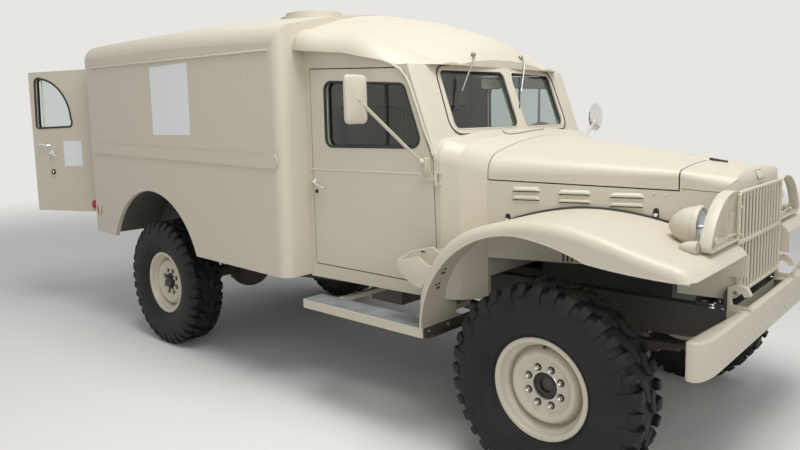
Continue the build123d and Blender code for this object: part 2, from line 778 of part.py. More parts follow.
drip_line = [
    (body_rear_x - 60, lifted(drip_z, body_rear_x - 60)),
    (body_front_x, drip_z),
    (aft(1228), 1930),
    (aft(1000), 1880),
    (aft(900), 1850),
    (aft(700), 1850),
]
with BuildPart() as roof:
    loft([roof_section(section, 0) for section in body_roof_sections])
    with BuildSketch(Plane.XY.offset(section_base_z)) as roof_plan:
        with BuildLine():
            Polyline(
                (roof_rear_x, -body_half_width),
                (body_front_x, -body_half_width),
                (body_front_x, body_half_width),
                (roof_rear_x, body_half_width),
                close=True,
            )
        make_face()
        fillet(roof_plan.vertices().sort_by(Axis.X)[-2:], body_corner_radius)
    extrude(amount=800, mode=Mode.INTERSECT)
    loft([roof_section(section, 0) for section in cab_roof_sections])
with BuildPart() as roof_hollow:
    loft([roof_section(section, body_wall) for section in body_roof_sections])
    with Locations(((body_rear_x + rear_wall + body_front_x - body_wall) / 2, 0, 2000)):
        Box(body_front_x - body_rear_x - rear_wall - body_wall, 2100, 1000, mode=Mode.INTERSECT)
with BuildPart() as cab_hollow:
    loft(
        [roof_section((d, w - 110, s, c - 90, z, k), roof_thickness) for d, w, s, c, z, k in cab_roof_sections]
    )
    with Locations(((body_front_x + aft(850)) / 2, 0, 2000)):
        Box(aft(850) - body_front_x, 2100, 1000, mode=Mode.INTERSECT)
with BuildPart() as roof_shell:
    add(roof.part)
    add(roof_hollow.part, mode=Mode.SUBTRACT)
    add(cab_hollow.part, mode=Mode.SUBTRACT)
    with BuildSketch(Plane.XZ.offset(-1100)):
        with BuildLine():
            Polyline(*drip_line, (aft(600), 1850), (aft(600), 1500), (body_rear_x - 60, 1500), close=True)
        make_face()
    extrude(amount=2200, mode=Mode.SUBTRACT)
    with Locations((aft(2390), 0, 2276)):
        Cylinder(240, 60)
        Cylinder(200, 120)
    add(roof_hollow.part, mode=Mode.SUBTRACT)
    with Locations((body_rear_x, 0, rear_door_top_z - 100)):
        Box(5 * rear_wall, 2 * rear_door_hinge_y, 200, mode=Mode.SUBTRACT)
roof_shell.part.label = "roof"
export_step(roof_shell.part, "parts/roof.step")

# Cowl: flares from the hood's rear edge to the doors, with the firewall as its front wall
cowl_rear_x = aft(700)
cowl_wall = 24
# Section columns: X, half width, top Z of the upright side, crown Z, shoulder radius
cowl_sections = [
    (
        hood_rear_x, hood_rear_half_width, hood_rear_seam_z + hood_rear_rise, hood_rear_crown_z, hood_rear_shoulder
    ),
    (aft(560), 705, 1346, 1498, 108),
    (aft(640), cab_front_half_width, 1366, 1508, 110),
    (cowl_rear_x, cab_half_width(cowl_rear_x), 1372, 1512, 110),
]


def crowned_section(x, half_width, side_top_z, crown_z, low_z, shoulder):
    """Closed outline with upright sides, rounded shoulders and a shallow arched top."""
    slope = 0
    for _ in range(20):
        edge_y = half_width - shoulder + shoulder * sin(slope)
        edge_z = side_top_z + shoulder * cos(slope)
        slope = 2 * atan2(crown_z - edge_z, edge_y)
    half_turn = (radians(90) - slope) / 2
    bend_y = half_width - shoulder + shoulder * cos(half_turn)
    bend_z = side_top_z + shoulder * sin(half_turn)
    with BuildSketch(Plane.YZ.offset(x)) as outline:
        with BuildLine():
            Polyline(
                (-half_width, side_top_z), (-half_width, low_z), (half_width, low_z), (half_width, side_top_z)
            )
            ThreePointArc((half_width, side_top_z), (bend_y, bend_z), (edge_y, edge_z))
            ThreePointArc((edge_y, edge_z), (0, crown_z), (-edge_y, edge_z))
            ThreePointArc((-edge_y, edge_z), (-bend_y, bend_z), (-half_width, side_top_z))
        make_face()
    return outline.sketch


with BuildPart() as cowl_block:
    loft([crowned_section(x, w, s, c, cab_sill_z, r) for x, w, s, c, r in cowl_sections], ruled=True)
with BuildPart() as cowl:
    add(cowl_block.part)
    loft(
        [
            crowned_section(x, w - cowl_wall, s, c - cowl_wall, cab_sill_z - 50, r - cowl_wall)
            for x, w, s, c, r in cowl_sections
        ],
        ruled=True,
        mode=Mode.SUBTRACT,
    )
    firewall_x = hood_rear_x - firewall_thickness
    firewall = crowned_section(
        firewall_x,
        hood_rear_half_width - 1,
        hood_rear_seam_z + hood_rear_rise,
        hood_rear_crown_z - 2,
        floor_low_z,
        hood_rear_shoulder - 1,
    )
    extrude(firewall, amount=firewall_thickness)

# Windshield frame: two flat panes in a shallow V that leans back
frame_base_z = 1340
frame_top_z = 1850
windshield_lean = 0.36
windshield_frame_wall = 45
windshield_base_x = aft(622)
pane_low_z = 1520
pane_high_z = 1828
pane_inner_y = 32
pane_outer_y = 552
pane_corner_radius = 38
glass_thickness = 6


def windshield_band(z, front_inset, depth):
    """Plan outline of the V-shaped band at one height."""
    front_x = windshield_base_x - windshield_lean * (z - 1470)
    width = cab_half_width(front_x - 70)
    front = [(front_x, 0), (front_x - 54, 560), (front_x - 58, width - 35), (front_x - 72, width)]
    back = [(front_x - 90, width), (front_x - 54 - depth, 560), (front_x - depth, 0)]
    outline = [(x - front_inset, y) for x, y in front + back]
    mirrored = [(x, -y) for x, y in outline[-2:0:-1]]
    with BuildSketch(Plane.XY.offset(z)) as band:
        with BuildLine():
            Polyline(*outline, *mirrored, close=True)
        make_face()
    return band.sketch


def pane_outlines():
    """Outlines of both panes, seen from the front, on a plane behind them."""
    with BuildSketch(Plane.YZ.offset(aft(1000))) as outlines:
        with Locations(
            *[(side * (pane_inner_y + pane_outer_y) / 2, (pane_low_z + pane_high_z) / 2) for side in (-1, 1)]
        ):
            RectangleRounded(pane_outer_y - pane_inner_y, pane_high_z - pane_low_z, pane_corner_radius)
    return outlines.sketch


with BuildPart() as windshield_frame:
    loft([windshield_band(z, 0, windshield_frame_wall) for z in (frame_base_z, frame_top_z)])
    add(cowl_block.part, mode=Mode.SUBTRACT)
    extrude(pane_outlines(), amount=500, mode=Mode.SUBTRACT)
windshield_frame.part.label = "windshield_frame"
export_step(windshield_frame.part, "parts/windshield_frame.step")

with BuildPart() as windshield_glass:
    loft([windshield_band(z, 20, glass_thickness) for z in (frame_base_z, frame_top_z)])
    extrude(pane_outlines(), amount=500, mode=Mode.INTERSECT)
windshield_glass.part.label = "windshield_glass"
export_step(windshield_glass.part, "parts/windshield_glass.step")

# Cab sides, doors and door glass share one upright plane on each side, which turns inwards towards the front
cab_taper = atan2(cab_rear_half_width - cab_front_half_width, aft(640) - body_front_x)
cab_plane = Plane(
    origin=(body_front_x, -cab_rear_half_width, 0),
    x_dir=(cos(cab_taper), sin(cab_taper), 0),
    z_dir=(sin(cab_taper), -cos(cab_taper), 0),
)


def along(x):
    """Distance along the cab side, forward from the partition, of a station X."""
    return (x - body_front_x) / cos(cab_taper)


def frame_edge(z):
    """Rear edge of the windshield frame's side post at one height."""
    return along(windshield_base_x - windshield_lean * (z - 1470) - 90)


door_rear = along(door_rear_x)
door_front_low = along(door_front_x)
door_front_belt = door_front_low - 18
window_border = 40
door_arc_z = 1740
door_outline_points = [
    (door_rear, door_bottom_z),
    (door_front_low, door_bottom_z - 16),
    (door_front_belt, 1372),
    (frame_edge(1500) - 1.6 * door_gap, 1500),
    (frame_edge(door_arc_z) - 1.6 * door_gap, door_arc_z),
]
door_arc_middle = (frame_edge(door_arc_z) - 42, 1806)
door_arc_end = (frame_edge(door_arc_z) - 115, 1833)
door_top_rear = (door_rear, door_top_z)


def door_sketch(gap):
    """Outline of the door on the cab plane, grown by the gap."""
    with BuildSketch(cab_plane) as outline:
        with BuildLine():
            Polyline(*door_outline_points)
            ThreePointArc(door_outline_points[-1], door_arc_middle, door_arc_end)
            Polyline(door_arc_end, door_top_rear, door_outline_points[0])
        make_face()
        if gap:
            offset(amount=gap, kind=Kind.INTERSECTION)
    return outline.sketch


def door_window(gap):
    """Outline of the door's window, shrunk by the gap."""
    with BuildSketch(cab_plane) as outline:
        with BuildLine():
            Polyline(
                (along(aft(1412)), door_window_bottom_z),
                (frame_edge(1450) - window_border, door_window_bottom_z),
                (frame_edge(1745) - window_border - 4, 1752),
                (along(aft(1412)), door_window_top_z),
                close=True,
            )
        make_face()
        fillet(outline.vertices(), 45)
        if gap:
            offset(amount=-gap)
    return outline.sketch


with BuildPart() as cab_side_right:
    with BuildSketch(cab_plane):
        with BuildLine():
            Polyline(
                (0, cab_sill_z),
                (along(cowl_rear_x), cab_sill_z),
                (along(cowl_rear_x), 1200),
                (frame_edge(1480), 1480),
                (frame_edge(1850), 1850),
                (along(aft(900)), 1850),
                (along(aft(1000)), 1880),
                (along(aft(1228)), 1930),
                (0, drip_z),
                close=True,
            )
        make_face()
    extrude(amount=-cab_wall)
    extrude(door_sketch(door_gap), amount=-cab_wall, mode=Mode.SUBTRACT)
    with BuildSketch(cab_plane):
        with Locations((along(aft(720)), 1250)):
            Rectangle(260, 960)
    extrude(amount=-cab_wall, mode=Mode.SUBTRACT)
    with Locations((body_front_x - 100, -cab_rear_half_width, 1400)):
        Box(200, 300, 1600, mode=Mode.SUBTRACT)
with BuildPart() as cab_sides:
    add(cab_side_right.part)
    mirror(cab_side_right.part, about=Plane.XZ)
cab_sides.part.label = "cab_sides"
export_step(cab_sides.part, "parts/cab_sides.step")

# Cab door hinges: a strap and sleeve on the door at two heights, on pins that the cowl holds
hinge_pin_radius = 6
hinge_sleeve_radius = 11
hinge_sleeve_height = 40
hinge_strap_width = 34
hinge_strap_thickness = 5
hinge_bracket_height = 14
hinge_bracket_gap = 0.5
door_hinge_x = aft(659)
door_hinge_y = cab_half_width(door_hinge_x) + 10
door_hinge_heights = [905, 1290]
door_sleeve_radius = 8.5
door_strap_length = 110
door_strap_rise = 1.5
door_strap_thickness = 3.5
door_pad_length = 76
with BuildPart() as door_right:
    extrude(door_sketch(0), amount=-cab_wall)
    extrude(door_window(0), amount=-cab_wall, mode=Mode.SUBTRACT)
    for hinge_z in door_hinge_heights:
        with BuildSketch(cab_plane.offset(door_strap_rise)):
            with Locations((along(door_hinge_x) - door_strap_length / 2, hinge_z)):
                Rectangle(door_strap_length, hinge_strap_width)
        extrude(amount=door_strap_thickness)
        with BuildSketch(cab_plane.offset(-1)):
            with Locations((along(door_hinge_x) - door_strap_length + door_pad_length / 2, hinge_z)):
                Rectangle(door_pad_length, hinge_strap_width)
        extrude(amount=door_strap_rise + 2)
        with Locations((door_hinge_x, -door_hinge_y, hinge_z)):
            Cylinder(door_sleeve_radius, hinge_sleeve_height)
            Cylinder(hinge_pin_radius + running_clearance, 2 * hinge_sleeve_height, mode=Mode.SUBTRACT)
with BuildPart() as door_glass_right:
    extrude(door_window(0), amount=-(cab_wall / 2 + glass_thickness / 2))
    extrude(door_window(-2), amount=-(cab_wall / 2 - glass_thickness / 2), mode=Mode.SUBTRACT)
with BuildPart() as door_left:
    mirror(door_right.part, about=Plane.XZ)
with BuildPart() as door_glass_left:
    mirror(door_glass_right.part, about=Plane.XZ)
door_right.part.label = "door_right"
export_step(door_right.part, "parts/door_right.step")
door_left.part.label = "door_left"
export_step(door_left.part, "parts/door_left.step")
door_glass_right.part.label = "door_glass_right"
export_step(door_glass_right.part, "parts/door_glass_right.step")
door_glass_left.part.label = "door_glass_left"
export_step(door_glass_left.part, "parts/door_glass_left.step")

# Cowl again: cut back for the doors, then written
with BuildPart() as cowl_cut:
    add(cowl.part)
    with BuildPart(mode=Mode.PRIVATE) as door_clearance:
        extrude(door_sketch(door_gap), amount=-cab_wall - 60)
        extrude(door_sketch(door_gap), amount=40)
    add(door_clearance.part, mode=Mode.SUBTRACT)
    mirror(door_clearance.part, about=Plane.XZ, mode=Mode.SUBTRACT)
    for side in (-1, 1):
        for hinge_z in door_hinge_heights:
            with Locations((door_hinge_x, side * door_hinge_y, hinge_z)):
                Cylinder(hinge_pin_radius, hinge_sleeve_height + 2 * hinge_bracket_height)
            for end in (-1, 1):
                bracket_z = hinge_z + end * (
                    hinge_sleeve_height / 2 + hinge_bracket_gap + hinge_bracket_height / 2
                )
                with Locations((door_hinge_x, side * door_hinge_y, bracket_z)):
                    Cylinder(door_sleeve_radius, hinge_bracket_height)
                with Locations((door_hinge_x + 14, side * (door_hinge_y - 8), bracket_z)):
                    Box(28, 20, hinge_bracket_height)
cowl_cut.part.label = "cowl"
export_step(cowl_cut.part, "parts/cowl.step")

# Hood: two halves hinged on the middle line, and the side panels under them
hood_gap = 6


def hood_section(x, inset):
    """Crowned outline of the hood, its side panels and the nose at one station."""
    if x <= hood_front_x:
        span = (hood_rear_x, hood_front_x)
        half_width = place_between(x, *span, hood_rear_half_width, hood_front_half_width)
        seam_z = place_between(x, *span, hood_rear_seam_z, hood_front_seam_z)
        crown_z = place_between(x, *span, hood_rear_crown_z, hood_front_crown_z)
        rise = place_between(x, *span, hood_rear_rise, hood_front_rise)
        shoulder = place_between(x, *span, hood_rear_shoulder, hood_front_shoulder)
    else:
        span = (hood_front_x, nose_front_x)
        half_width = place_between(x, *span, hood_front_half_width, nose_half_width)
        seam_z = place_between(x, *span, hood_front_seam_z, hood_front_seam_z - 12)
        crown_z = place_between(x, *span, hood_front_crown_z, nose_crown_z)
        rise = place_between(x, *span, hood_front_rise, nose_rise)
        shoulder = place_between(x, *span, hood_front_shoulder, nose_shoulder)
    return crowned_section(x, half_width - inset, seam_z + rise, crown_z - inset, 800, shoulder - inset)


with BuildPart() as hood_shell:
    loft([hood_section(hood_rear_x + hood_gap, 0), hood_section(hood_front_x - hood_gap, 0)], ruled=True)
    loft(
        [hood_section(hood_rear_x + hood_gap, sheet), hood_section(hood_front_x - hood_gap, sheet)],
        ruled=True,
        mode=Mode.SUBTRACT,
    )
seam_profile = [
    (hood_rear_x, hood_rear_seam_z),
    (hood_front_x, hood_front_seam_z),
    (hood_front_x, 1600),
    (hood_rear_x, 1600),
]
with BuildPart() as hood_right:
    add(hood_shell.part)
    with BuildSketch(Plane.XZ.offset(hinge_gap)):
        with BuildLine():
            Polyline(*seam_profile, close=True)
        make_face()
    extrude(amount=700, mode=Mode.INTERSECT)
with BuildPart() as hood_left:
    mirror(hood_right.part, about=Plane.XZ)
hood_right.part.label = "hood_right"
export_step(hood_right.part, "parts/hood_right.step")
hood_left.part.label = "hood_left"
export_step(hood_left.part, "parts/hood_left.step")

hood_side_bottom_z = 950
with BuildPart() as hood_sides:
    loft([hood_section(hood_rear_x, 0), hood_section(hood_front_x, 0)], ruled=True)
    loft(
        [hood_section(hood_rear_x, sheet), hood_section(hood_front_x, sheet)], ruled=True, mode=Mode.SUBTRACT
    )
    with BuildSketch(Plane.XZ.offset(-800)):
        with BuildLine():
            Polyline(
                (hood_rear_x, hood_side_bottom_z),
                (hood_front_x, hood_side_bottom_z),
                (hood_front_x, hood_front_seam_z - hood_gap),
                (hood_rear_x, hood_rear_seam_z - hood_gap),
                close=True,
            )
        make_face()
    extrude(amount=1600, mode=Mode.INTERSECT)
hood_sides.part.label = "hood_sides"
export_step(hood_sides.part, "parts/hood_sides.step")

# Nose shell round the radiator, open in front and behind
nose_roll = 58
nose_slack = 0.5
hood_rod_radius = 5.6
hood_rod_drop = 2.5
grille_half_width = 272
grille_low_z = 850
grille_high_z = 1215


def hood_crown_point(x):
    """Point of the hinge rod's middle line, just under the hood's crown line."""
    crown_z = place_between(x, hood_rear_x, hood_front_x, hood_rear_crown_z, hood_front_crown_z)
    return Vector(x, 0, crown_z - hood_rod_drop)


def nose_block(inset):
    """Solid of the nose, shrunk by the inset, with its top and side edges rolled over in front."""
    span = (hood_front_x, nose_front_x)
    front_x = nose_front_x - inset
    back_x = hood_front_x - 10
    margin = nose_slack - inset
    top_z = [place_between(x, *span, hood_front_crown_z, nose_crown_z) + margin for x in (front_x, back_x)]
    side_y = [place_between(x, *span, hood_front_half_width, nose_half_width) + margin for x in (front_x, back_x)]
    with BuildPart() as block:
        loft([hood_section(hood_front_x, inset), hood_section(front_x, inset)], ruled=True)
        with BuildSketch(Plane.XZ.offset(-500)) as side_outline:
            with BuildLine():
                Polyline((back_x, 700), (front_x, 700), (front_x, top_z[0]), (back_x, top_z[1]), close=True)
            make_face()
            fillet(side_outline.vertices().sort_by(Axis.X)[-2:].sort_by(Axis.Y)[-1], nose_roll - inset)
        extrude(amount=1000, mode=Mode.INTERSECT)
        with BuildSketch(Plane.XY.offset(700)) as plan_outline:
            with BuildLine():
                Polyline(
                    (back_x, -side_y[1]),
                    (front_x, -side_y[0]),
                    (front_x, side_y[0]),
                    (back_x, side_y[1]),
                    close=True,
                )
            make_face()
            fillet(plan_outline.vertices().sort_by(Axis.X)[-2:], nose_roll - inset)
        extrude(amount=900, mode=Mode.INTERSECT)
    return block.part


with BuildPart() as nose_shell:
    add(nose_block(0))
    add(nose_block(sheet), mode=Mode.SUBTRACT)
    with Locations((nose_front_x, 0, (grille_low_z + grille_high_z) / 2)):
        Box(2 * nose_roll, 2 * grille_half_width, grille_high_z - grille_low_z, mode=Mode.SUBTRACT)
    hood_rod_start = hood_crown_point(hood_rear_x + 2)
    hood_rod_end = hood_crown_point(hood_front_x + 12)
    with BuildSketch(Plane(origin=hood_rod_start, z_dir=hood_rod_end - hood_rod_start)):
        Circle(hood_rod_radius)
    extrude(amount=(hood_rod_end - hood_rod_start).length)
nose_shell.part.label = "nose_shell"
export_step(nose_shell.part, "parts/nose_shell.step")

# Front fenders: rolled sheet over the wheel, flatter towards the front, with an upright inner apron
fender_outer_y = 958
fender_roll = 45
fender_base_z = 594
fender_rear_x = aft(640)
fender_front_x = aft(-634)
fender_inner_y = 200
apron_low_z = 898
# Top points: the first arc's ends and middle, then the ends of the arcs that follow it smoothly, X and Z
fender_top_line = [
    (fender_rear_x + 14, 745),
    (aft(505), 975),
    (aft(300), 1105),
    (aft(120), 1148),
    (aft(-90), 1154),
    (aft(-330), 1106),
    (aft(-560), 1046),
    (fender_front_x, 985),
]
# Lip points: ends and middles of the arcs along the bottom edge of the outer roll, X and Z
fender_lip_line = [
    (aft(609), fender_base_z - 10),
    (aft(609), 638),
    (aft(549), 825),
    (aft(401), 993),
    (aft(252), 1070),
    (aft(100), 1096),
    (aft(-60), 1074),
    (aft(-220), 1022),
    (aft(-400), 1003),
    (fender_front_x + 20, 997),
]


def fender_profile(inset):
    """Side outline of the fender mound, shrunk by the inset."""
    tops = fender_top_line
    with BuildSketch(Plane.XZ) as outline:
        with BuildLine():
            Line((fender_rear_x, fender_base_z), tops[0])
            arc = ThreePointArc(tops[0], tops[1], tops[2])
            for first, last in zip(tops[2:], tops[3:]):
                arc = TangentArc(first, last, tangent=arc % 1)
            Polyline(tops[-1], (fender_front_x, fender_base_z), (fender_rear_x, fender_base_z))
        make_face()
        if inset:
            offset(amount=-inset, kind=Kind.INTERSECTION)
    return outline.sketch_local


def beside_hood(x, gap):
    """Y of a line that follows the hood side, with a gap."""
    y = place_between(x, hood_rear_x, hood_front_x, hood_rear_half_width, hood_front_half_width)
    nose_y = place_between(x, hood_front_x, nose_front_x, hood_front_half_width, nose_half_width)
    return -(max(y, nose_y) + gap)


hood_line_places = [fender_rear_x - 20, hood_rear_x, hood_front_x, fender_front_x + 20]
with BuildPart() as fender_mound:
    with BuildSketch(Plane.XZ.offset(fender_inner_y)):
        add(fender_profile(0))
    extrude(amount=fender_outer_y - fender_inner_y)
    mound_edges = fender_mound.faces().sort_by(Axis.Y)[0].edges()
    fillet(mound_edges.filter_by(lambda e: e.center().Z > fender_base_z + 5), fender_roll)
with BuildPart() as fender_void:
    with BuildSketch(Plane.XZ.offset(fender_inner_y)):
        add(fender_profile(sheet))
    extrude(amount=fender_outer_y - sheet - fender_inner_y)
    void_edges = fender_void.faces().sort_by(Axis.Y)[0].edges()
    fillet(void_edges.filter_by(lambda e: e.center().Z > fender_base_z + 15), fender_roll - sheet)
with BuildPart() as fender_right:
    add(fender_mound.part)
    add(fender_void.part, mode=Mode.SUBTRACT)
    with BuildSketch(Plane.XZ.offset(fender_inner_y - 100)):
        with BuildLine():
            lip = fender_lip_line
            Line(lip[0], lip[1])
            ThreePointArc(lip[1], lip[2], lip[3])
            ThreePointArc(lip[3], lip[4], lip[5])
            ThreePointArc(lip[5], lip[6], lip[7])
            ThreePointArc(lip[7], lip[8], lip[9])
            Polyline(lip[9], (fender_front_x + 20, fender_base_z - 10), lip[0])
        make_face()
    extrude(amount=1000, mode=Mode.SUBTRACT)
    with BuildSketch(Plane.XY.offset(500)):
        with BuildLine():
            Polyline(
                *[(x, beside_hood(x, seat_gap)) for x in hood_line_places],
                (fender_front_x + 20, 0),
                (fender_rear_x - 20, 0),
                close=True,
            )
        make_face()
    extrude(amount=900, mode=Mode.SUBTRACT)
    add(cowl_block.part, mode=Mode.SUBTRACT)
with BuildPart() as apron_right:
    with BuildSketch(Plane.XY.offset(apron_low_z)):
        with BuildLine():
            inner_places = hood_line_places[1:]
            Polyline(
                *[(x, beside_hood(x, seat_gap)) for x in inner_places],
                *[(x, beside_hood(x, seat_gap + sheet)) for x in reversed(inner_places)],
                close=True,
            )
        make_face()
    extrude(amount=400)
    add(fender_mound.part, mode=Mode.INTERSECT)
with BuildPart() as front_fenders:
    add(fender_right.part)
    add(apron_right.part)
    mirror(front_fenders.part, about=Plane.XZ)
front_fenders.part.label = "front_fenders"
export_step(front_fenders.part, "parts/front_fenders.step")

# Grille guard in front of the nose: a frame, a middle rail, upright bars and a hoop round each headlamp
guard_half_width = 333
guard_low_z = 812
guard_high_z = 1258
guard_mid_z = 1040
guard_depth = 16
guard_rim = 18
guard_bar_count = 12
hoop_width = 46
hoop_thickness = 6
hoop_low_z = 1056
with BuildPart() as grille_guard:
    guard_plane = Plane.YZ.offset(nose_front_x + seat_gap)
    with BuildSketch(guard_plane):
        with Locations((0, (guard_low_z + guard_high_z) / 2)):
            RectangleRounded(2 * guard_half_width, guard_high_z - guard_low_z, 30)
        with Locations((0, (guard_low_z + guard_high_z) / 2)):
            RectangleRounded(
                2 * (guard_half_width - guard_rim),
                guard_high_z - guard_low_z - 2 * guard_rim,
                16,
                mode=Mode.SUBTRACT,
            )
        with Locations((0, guard_mid_z)):
            Rectangle(2 * guard_half_width - guard_rim, guard_rim)
        bar_pitch = 2 * (guard_half_width - guard_rim) / (guard_bar_count + 1)
        with Locations(*[((i - (guard_bar_count - 1) / 2) * bar_pitch, (guard_low_z + guard_high_z) / 2)
                         for i in range(guard_bar_count)]):
            Rectangle(13, guard_high_z - guard_low_z - guard_rim)
    extrude(amount=guard_depth)
    for side in (-1, 1):
        with BuildSketch(Plane.YZ.offset(nose_front_x + guard_depth - hoop_width)):
            with BuildLine():
                start = (side * (guard_half_width + 1), guard_high_z - 8)
                middle = (side * 620, 1175)
                end = (side * 684, hoop_low_z + 20)
                ThreePointArc(start, middle, end)
                ThreePointArc(end, (side * 680, hoop_low_z + 4), (side * 664, hoop_low_z))
                Line((side * 664, hoop_low_z), (side * (guard_half_width + 1), hoop_low_z))
                offset(amount=hoop_thickness / 2)
            make_face()
        extrude(amount=hoop_width)
    with Locations((nose_front_x + guard_depth - hoop_width, 0, (guard_low_z + guard_high_z) / 2)):
        Box(2 * (hoop_width - guard_depth), 2 * nose_half_width + 10, 800, mode=Mode.SUBTRACT)
grille_guard.part.label = "grille_guard"
export_step(grille_guard.part, "parts/grille_guard.step")

# Headlamps: a bullet on a short foot on each fender, lens included
headlamp_x = aft(-506)
headlamp_y = 560
headlamp_z = 1132
headlamp_radius = 80
headlamp_length = 112
with BuildPart() as headlamps:
    for side in (-1, 1):
        lamp_axis = Axis((headlamp_x, side * headlamp_y, headlamp_z), (1, 0, 0))
        with BuildSketch(
            Plane(origin=(headlamp_x, side * headlamp_y, headlamp_z), x_dir=(1, 0, 0), z_dir=(0, -1, 0))
        ):
            with BuildLine():
                Polyline((-headlamp_length, 12), (-headlamp_length, 0), (0, 0), (0, headlamp_radius))
                ThreePointArc(
                    (0, headlamp_radius), (-headlamp_length * 0.75, headlamp_radius * 0.62), (-headlamp_length, 12)
                )
            make_face()
        revolve(axis=lamp_axis)
        with BuildSketch(Plane.XY.offset(1000)):
            with Locations((headlamp_x - 45, side * headlamp_y)):
                Circle(24)
        extrude(amount=headlamp_z - 1000)
    add(fender_mound.part, mode=Mode.SUBTRACT)
    mirror(fender_mound.part, about=Plane.XZ, mode=Mode.SUBTRACT)
headlamps.part.label = "headlamps"
export_step(headlamps.part, "parts/headlamps.step")

# Running boards on brackets from the frame
board_front_x = aft(606)
board_rear_x = aft(1480)
board_inner_y = 802
board_outer_y = 950
board_top_z = fender_base_z - seat_gap
board_lip = 45
board_sheet = 4
bracket_places = [aft(760), aft(1340)]
with BuildPart() as board_right:
    with BuildSketch(Plane.XY.offset(board_top_z - board_lip)) as board_plan:
        with Locations(((board_front_x + board_rear_x) / 2, -(board_inner_y + board_outer_y) / 2)):
            Rectangle(board_front_x - board_rear_x, board_outer_y - board_inner_y)
        fillet(board_plan.vertices().sort_by(Axis.Y)[:2], 14)
    extrude(amount=board_lip)
    with Locations(
        ((board_front_x + board_rear_x) / 2, -(board_inner_y + board_outer_y) / 2, board_top_z - board_sheet)
    ):
        Box(
            board_front_x - board_rear_x - 2 * board_sheet,
            board_outer_y - board_inner_y - 2 * board_sheet,
            2 * board_lip,
            align=(Align.CENTER, Align.CENTER, Align.MAX),
            mode=Mode.SUBTRACT,
        )
    for bracket_x in bracket_places:
        with Locations((bracket_x, -(rail_outer_y + seat_gap), board_top_z - board_sheet)):
            Box(
                40, board_outer_y - board_sheet - rail_outer_y - seat_gap, 26, align=(Align.CENTER, Align.MAX, Align.MAX)
            )
            Box(60, 12, 120, align=(Align.CENTER, Align.MAX, Align.MIN))
with BuildPart() as running_boards:
    add(board_right.part)
    mirror(board_right.part, about=Plane.XZ)
running_boards.part.label = "running_boards"
export_step(running_boards.part, "parts/running_boards.step")

# Rear doors: two leaves with a window each; the right one is drawn open, as it stands
door_leaf_width = rear_door_hinge_y - 6 - 3
# Window columns: distance from the hinge line, Z
rear_window_outline = [(775, 1600), (762, 1940)]
rear_window_arc = [(700, 1974), (500, 1875), (398, 1640)]
rear_window_low = [(410, 1575), (748, 1568)]
rear_glass_thickness = 5


def rear_door_plane(side, open_angle):
    """Plane of a leaf with its origin on the hinge line, local x along the leaf and local y upwards."""
    along_leaf = Vector(0, -side, 0).rotate(Axis.Z, open_angle * -side)
    origin = Vector(body_rear_x - 20, side * rear_door_hinge_y, 0)
    return Plane(origin=origin, x_dir=along_leaf, z_dir=along_leaf.cross(Vector(0, 0, 1)))


def rear_window_sketch(plane, grow):
    """Window outline of a rear door leaf on its plane."""
    with BuildSketch(plane) as outline:
        with BuildLine():
            Line(rear_window_outline[0], rear_window_outline[1])
            ThreePointArc(rear_window_outline[1], (752, 1965), rear_window_arc[0])
            ThreePointArc(rear_window_arc[0], rear_window_arc[1], rear_window_arc[2])
            ThreePointArc(rear_window_arc[2], (397, 1588), rear_window_low[0])
            Line(rear_window_low[0], rear_window_low[1])
            ThreePointArc(rear_window_low[1], (769, 1576), rear_window_outline[0])
        make_face()
        if grow:
            offset(amount=grow)
    return outline.sketch


# The hinges are three straps on each leaf, each with a sleeve on a pin that the rear frame holds
rear_hinge_heights = [985, 1450, 1915]
hinge_strap_length = 92
leaf_inner_depth = -50
leaf_outer_depth = leaf_inner_depth + rear_door_thickness
for side_name, side, open_angle in (("right", -1, rear_door_open), ("left", 1, 0)):
    leaf_plane = rear_door_plane(side, open_angle)
    with BuildPart() as rear_door:
        with BuildSketch(leaf_plane.offset(side * leaf_inner_depth)):
            with Locations((6 + door_leaf_width / 2, (rear_door_bottom_z + rear_door_top_z) / 2)):
                Rectangle(door_leaf_width, rear_door_top_z - rear_door_bottom_z - 12)
        extrude(amount=side * rear_door_thickness)
        extrude(rear_window_sketch(leaf_plane.offset(-60 * side), 0), amount=80 * side, mode=Mode.SUBTRACT)
        with BuildSketch(leaf_plane.offset(side * (leaf_outer_depth - 1))):
            for hinge_z in rear_hinge_heights:
                with Locations((hinge_strap_length / 2, hinge_z)):
                    Rectangle(hinge_strap_length, hinge_strap_width)
        extrude(amount=side * (hinge_strap_thickness + 1))
        for hinge_z in rear_hinge_heights:
            with Locations((body_rear_x - 20, side * rear_door_hinge_y, hinge_z)):
                Cylinder(hinge_sleeve_radius, hinge_sleeve_height)
                Cylinder(hinge_pin_radius + running_clearance, 2 * hinge_sleeve_height, mode=Mode.SUBTRACT)
    rear_door.part.label = "rear_door_" + side_name
    export_step(rear_door.part, "parts/rear_door_" + side_name + ".step")
    with BuildPart() as rear_glass:
        extrude(rear_window_sketch(leaf_plane.offset(-33 * side), -0.2), amount=side * rear_glass_thickness)
    rear_glass.part.label = "rear_glass_" + side_name
    export_step(rear_glass.part, "parts/rear_glass_" + side_name + ".step")

